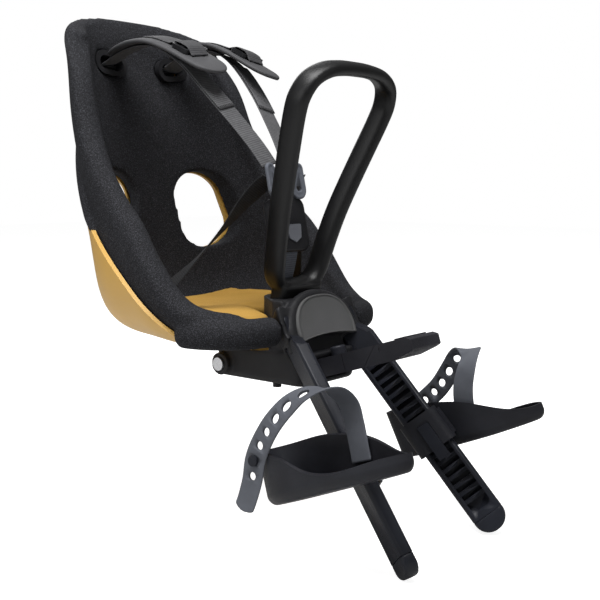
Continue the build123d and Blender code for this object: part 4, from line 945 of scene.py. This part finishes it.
for side_name, side in SIDES.items():
    paddle_name = f"shoulder_paddle_{side_name}"
    paddle = piece_of_grid(paddle_name, *paddle_grid, side, paddle_rubber, "seat", "padding")
    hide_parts(f"shoulder_pad_{side_name}")
    piece_of_grid(f"keeper_web_{side_name}", *keeper_grid, side, keeper_webbing, "seat", "webbing")

# Stage
# A pale floor under the lowest leg end, a white surround, soft lamps and the camera at the photo's angle.
FLOOR_DROP = 0.0005
FLOOR_HALF_WIDTH = 6.0
FLOOR_CORNERS = [(-1, -1), (1, -1), (1, 1), (-1, 1)]
FLOOR_GREY = (0.6, 0.6, 0.6, 1.0)
FLOOR_GLOW = 0.88
WHITE = (1.0, 1.0, 1.0, 1.0)
BLACK = (0.0, 0.0, 0.0, 1.0)
floor_z = min(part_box("leg_end_cap_left")[0].z, cad_box[0][2]) - FLOOR_DROP
floor_mesh = bpy.data.meshes.new("floor")
floor_points = [(FLOOR_HALF_WIDTH * x, FLOOR_HALF_WIDTH * y, floor_z) for x, y in FLOOR_CORNERS]
floor_mesh.from_pydata(floor_points, [], [(0, 1, 2, 3)])
floor = linked("floor", floor_mesh)


def floor_paint(place):
    """Matt grey floor that glows for the camera alone, so that it looks nearly white."""
    seen = place.node("ShaderNodeLightPath", {}, {}, "Is Camera Ray")
    return {
        "Base Color": FLOOR_GREY,
        "Roughness": 0.9,
        "Specular IOR Level": 0.0,
        "Emission Color": (seen * FLOOR_GLOW).blend(BLACK, WHITE),
        "Emission Strength": 1.0,
    }


floor_mesh.materials.append(surface("floor_paint", floor_paint))
# The surround is white for the camera and gives the object less light than that
WORLD_LIGHT = 0.17
world = bpy.data.worlds.new("studio")
scene.world = world
world.use_nodes = True
tree = world.node_tree
background = tree.nodes["Background"]
seen = Shade(tree, tree.nodes.new("ShaderNodeLightPath").outputs["Is Camera Ray"])
feed(background.inputs["Strength"], WORLD_LIGHT + (1.0 - WORLD_LIGHT) * seen)
feed(background.inputs["Color"], WHITE)
# Square soft boxes as (place, target, size in metres, watts)
LAMPS = {
    "top_lamp": ((-0.5, -0.15, 1.7), (0, 0.13, 0.1), 1.2, 56.0),
    "left_lamp": ((-1.9, 0.5, 0.8), (0, 0.15, 0.1), 1.0, 8.0),
    "front_lamp": ((0.4, -1.9, 0.6), (0, 0.1, 0.0), 0.9, 2.5),
    "back_lamp": ((0.9, 1.5, 1.1), (0, 0.2, 0.2), 1.0, 9.0),
}
for name, (place, target, size, watts) in LAMPS.items():
    light = bpy.data.lights.new(name, "AREA")
    light.size = size
    light.energy = watts
    lamp = linked(name, light)
    lamp.location = place
    aim = np.array(target) - np.array(place)
    yaw = math.atan2(-aim[0], aim[1])
    pitch = math.atan2(math.hypot(aim[0], aim[1]), -aim[2])
    lamp.rotation_euler = (pitch, 0.0, yaw)
CAMERA_PLACE = (-0.803, -0.586, 0.182)
CAMERA_AZIMUTH = math.radians(50.5)
CAMERA_PITCH = math.radians(7.0)
LENS, SENSOR_WIDTH = 60.0, 36.0
CLIP_START = 0.01
lens = bpy.data.cameras.new("camera")
lens.lens = LENS
lens.sensor_width = SENSOR_WIDTH
lens.clip_start = CLIP_START
camera = linked("camera", lens)
camera.location = CAMERA_PLACE
camera.rotation_euler = (math.pi / 2 - CAMERA_PITCH, 0.0, -CAMERA_AZIMUTH)
scene.camera = camera
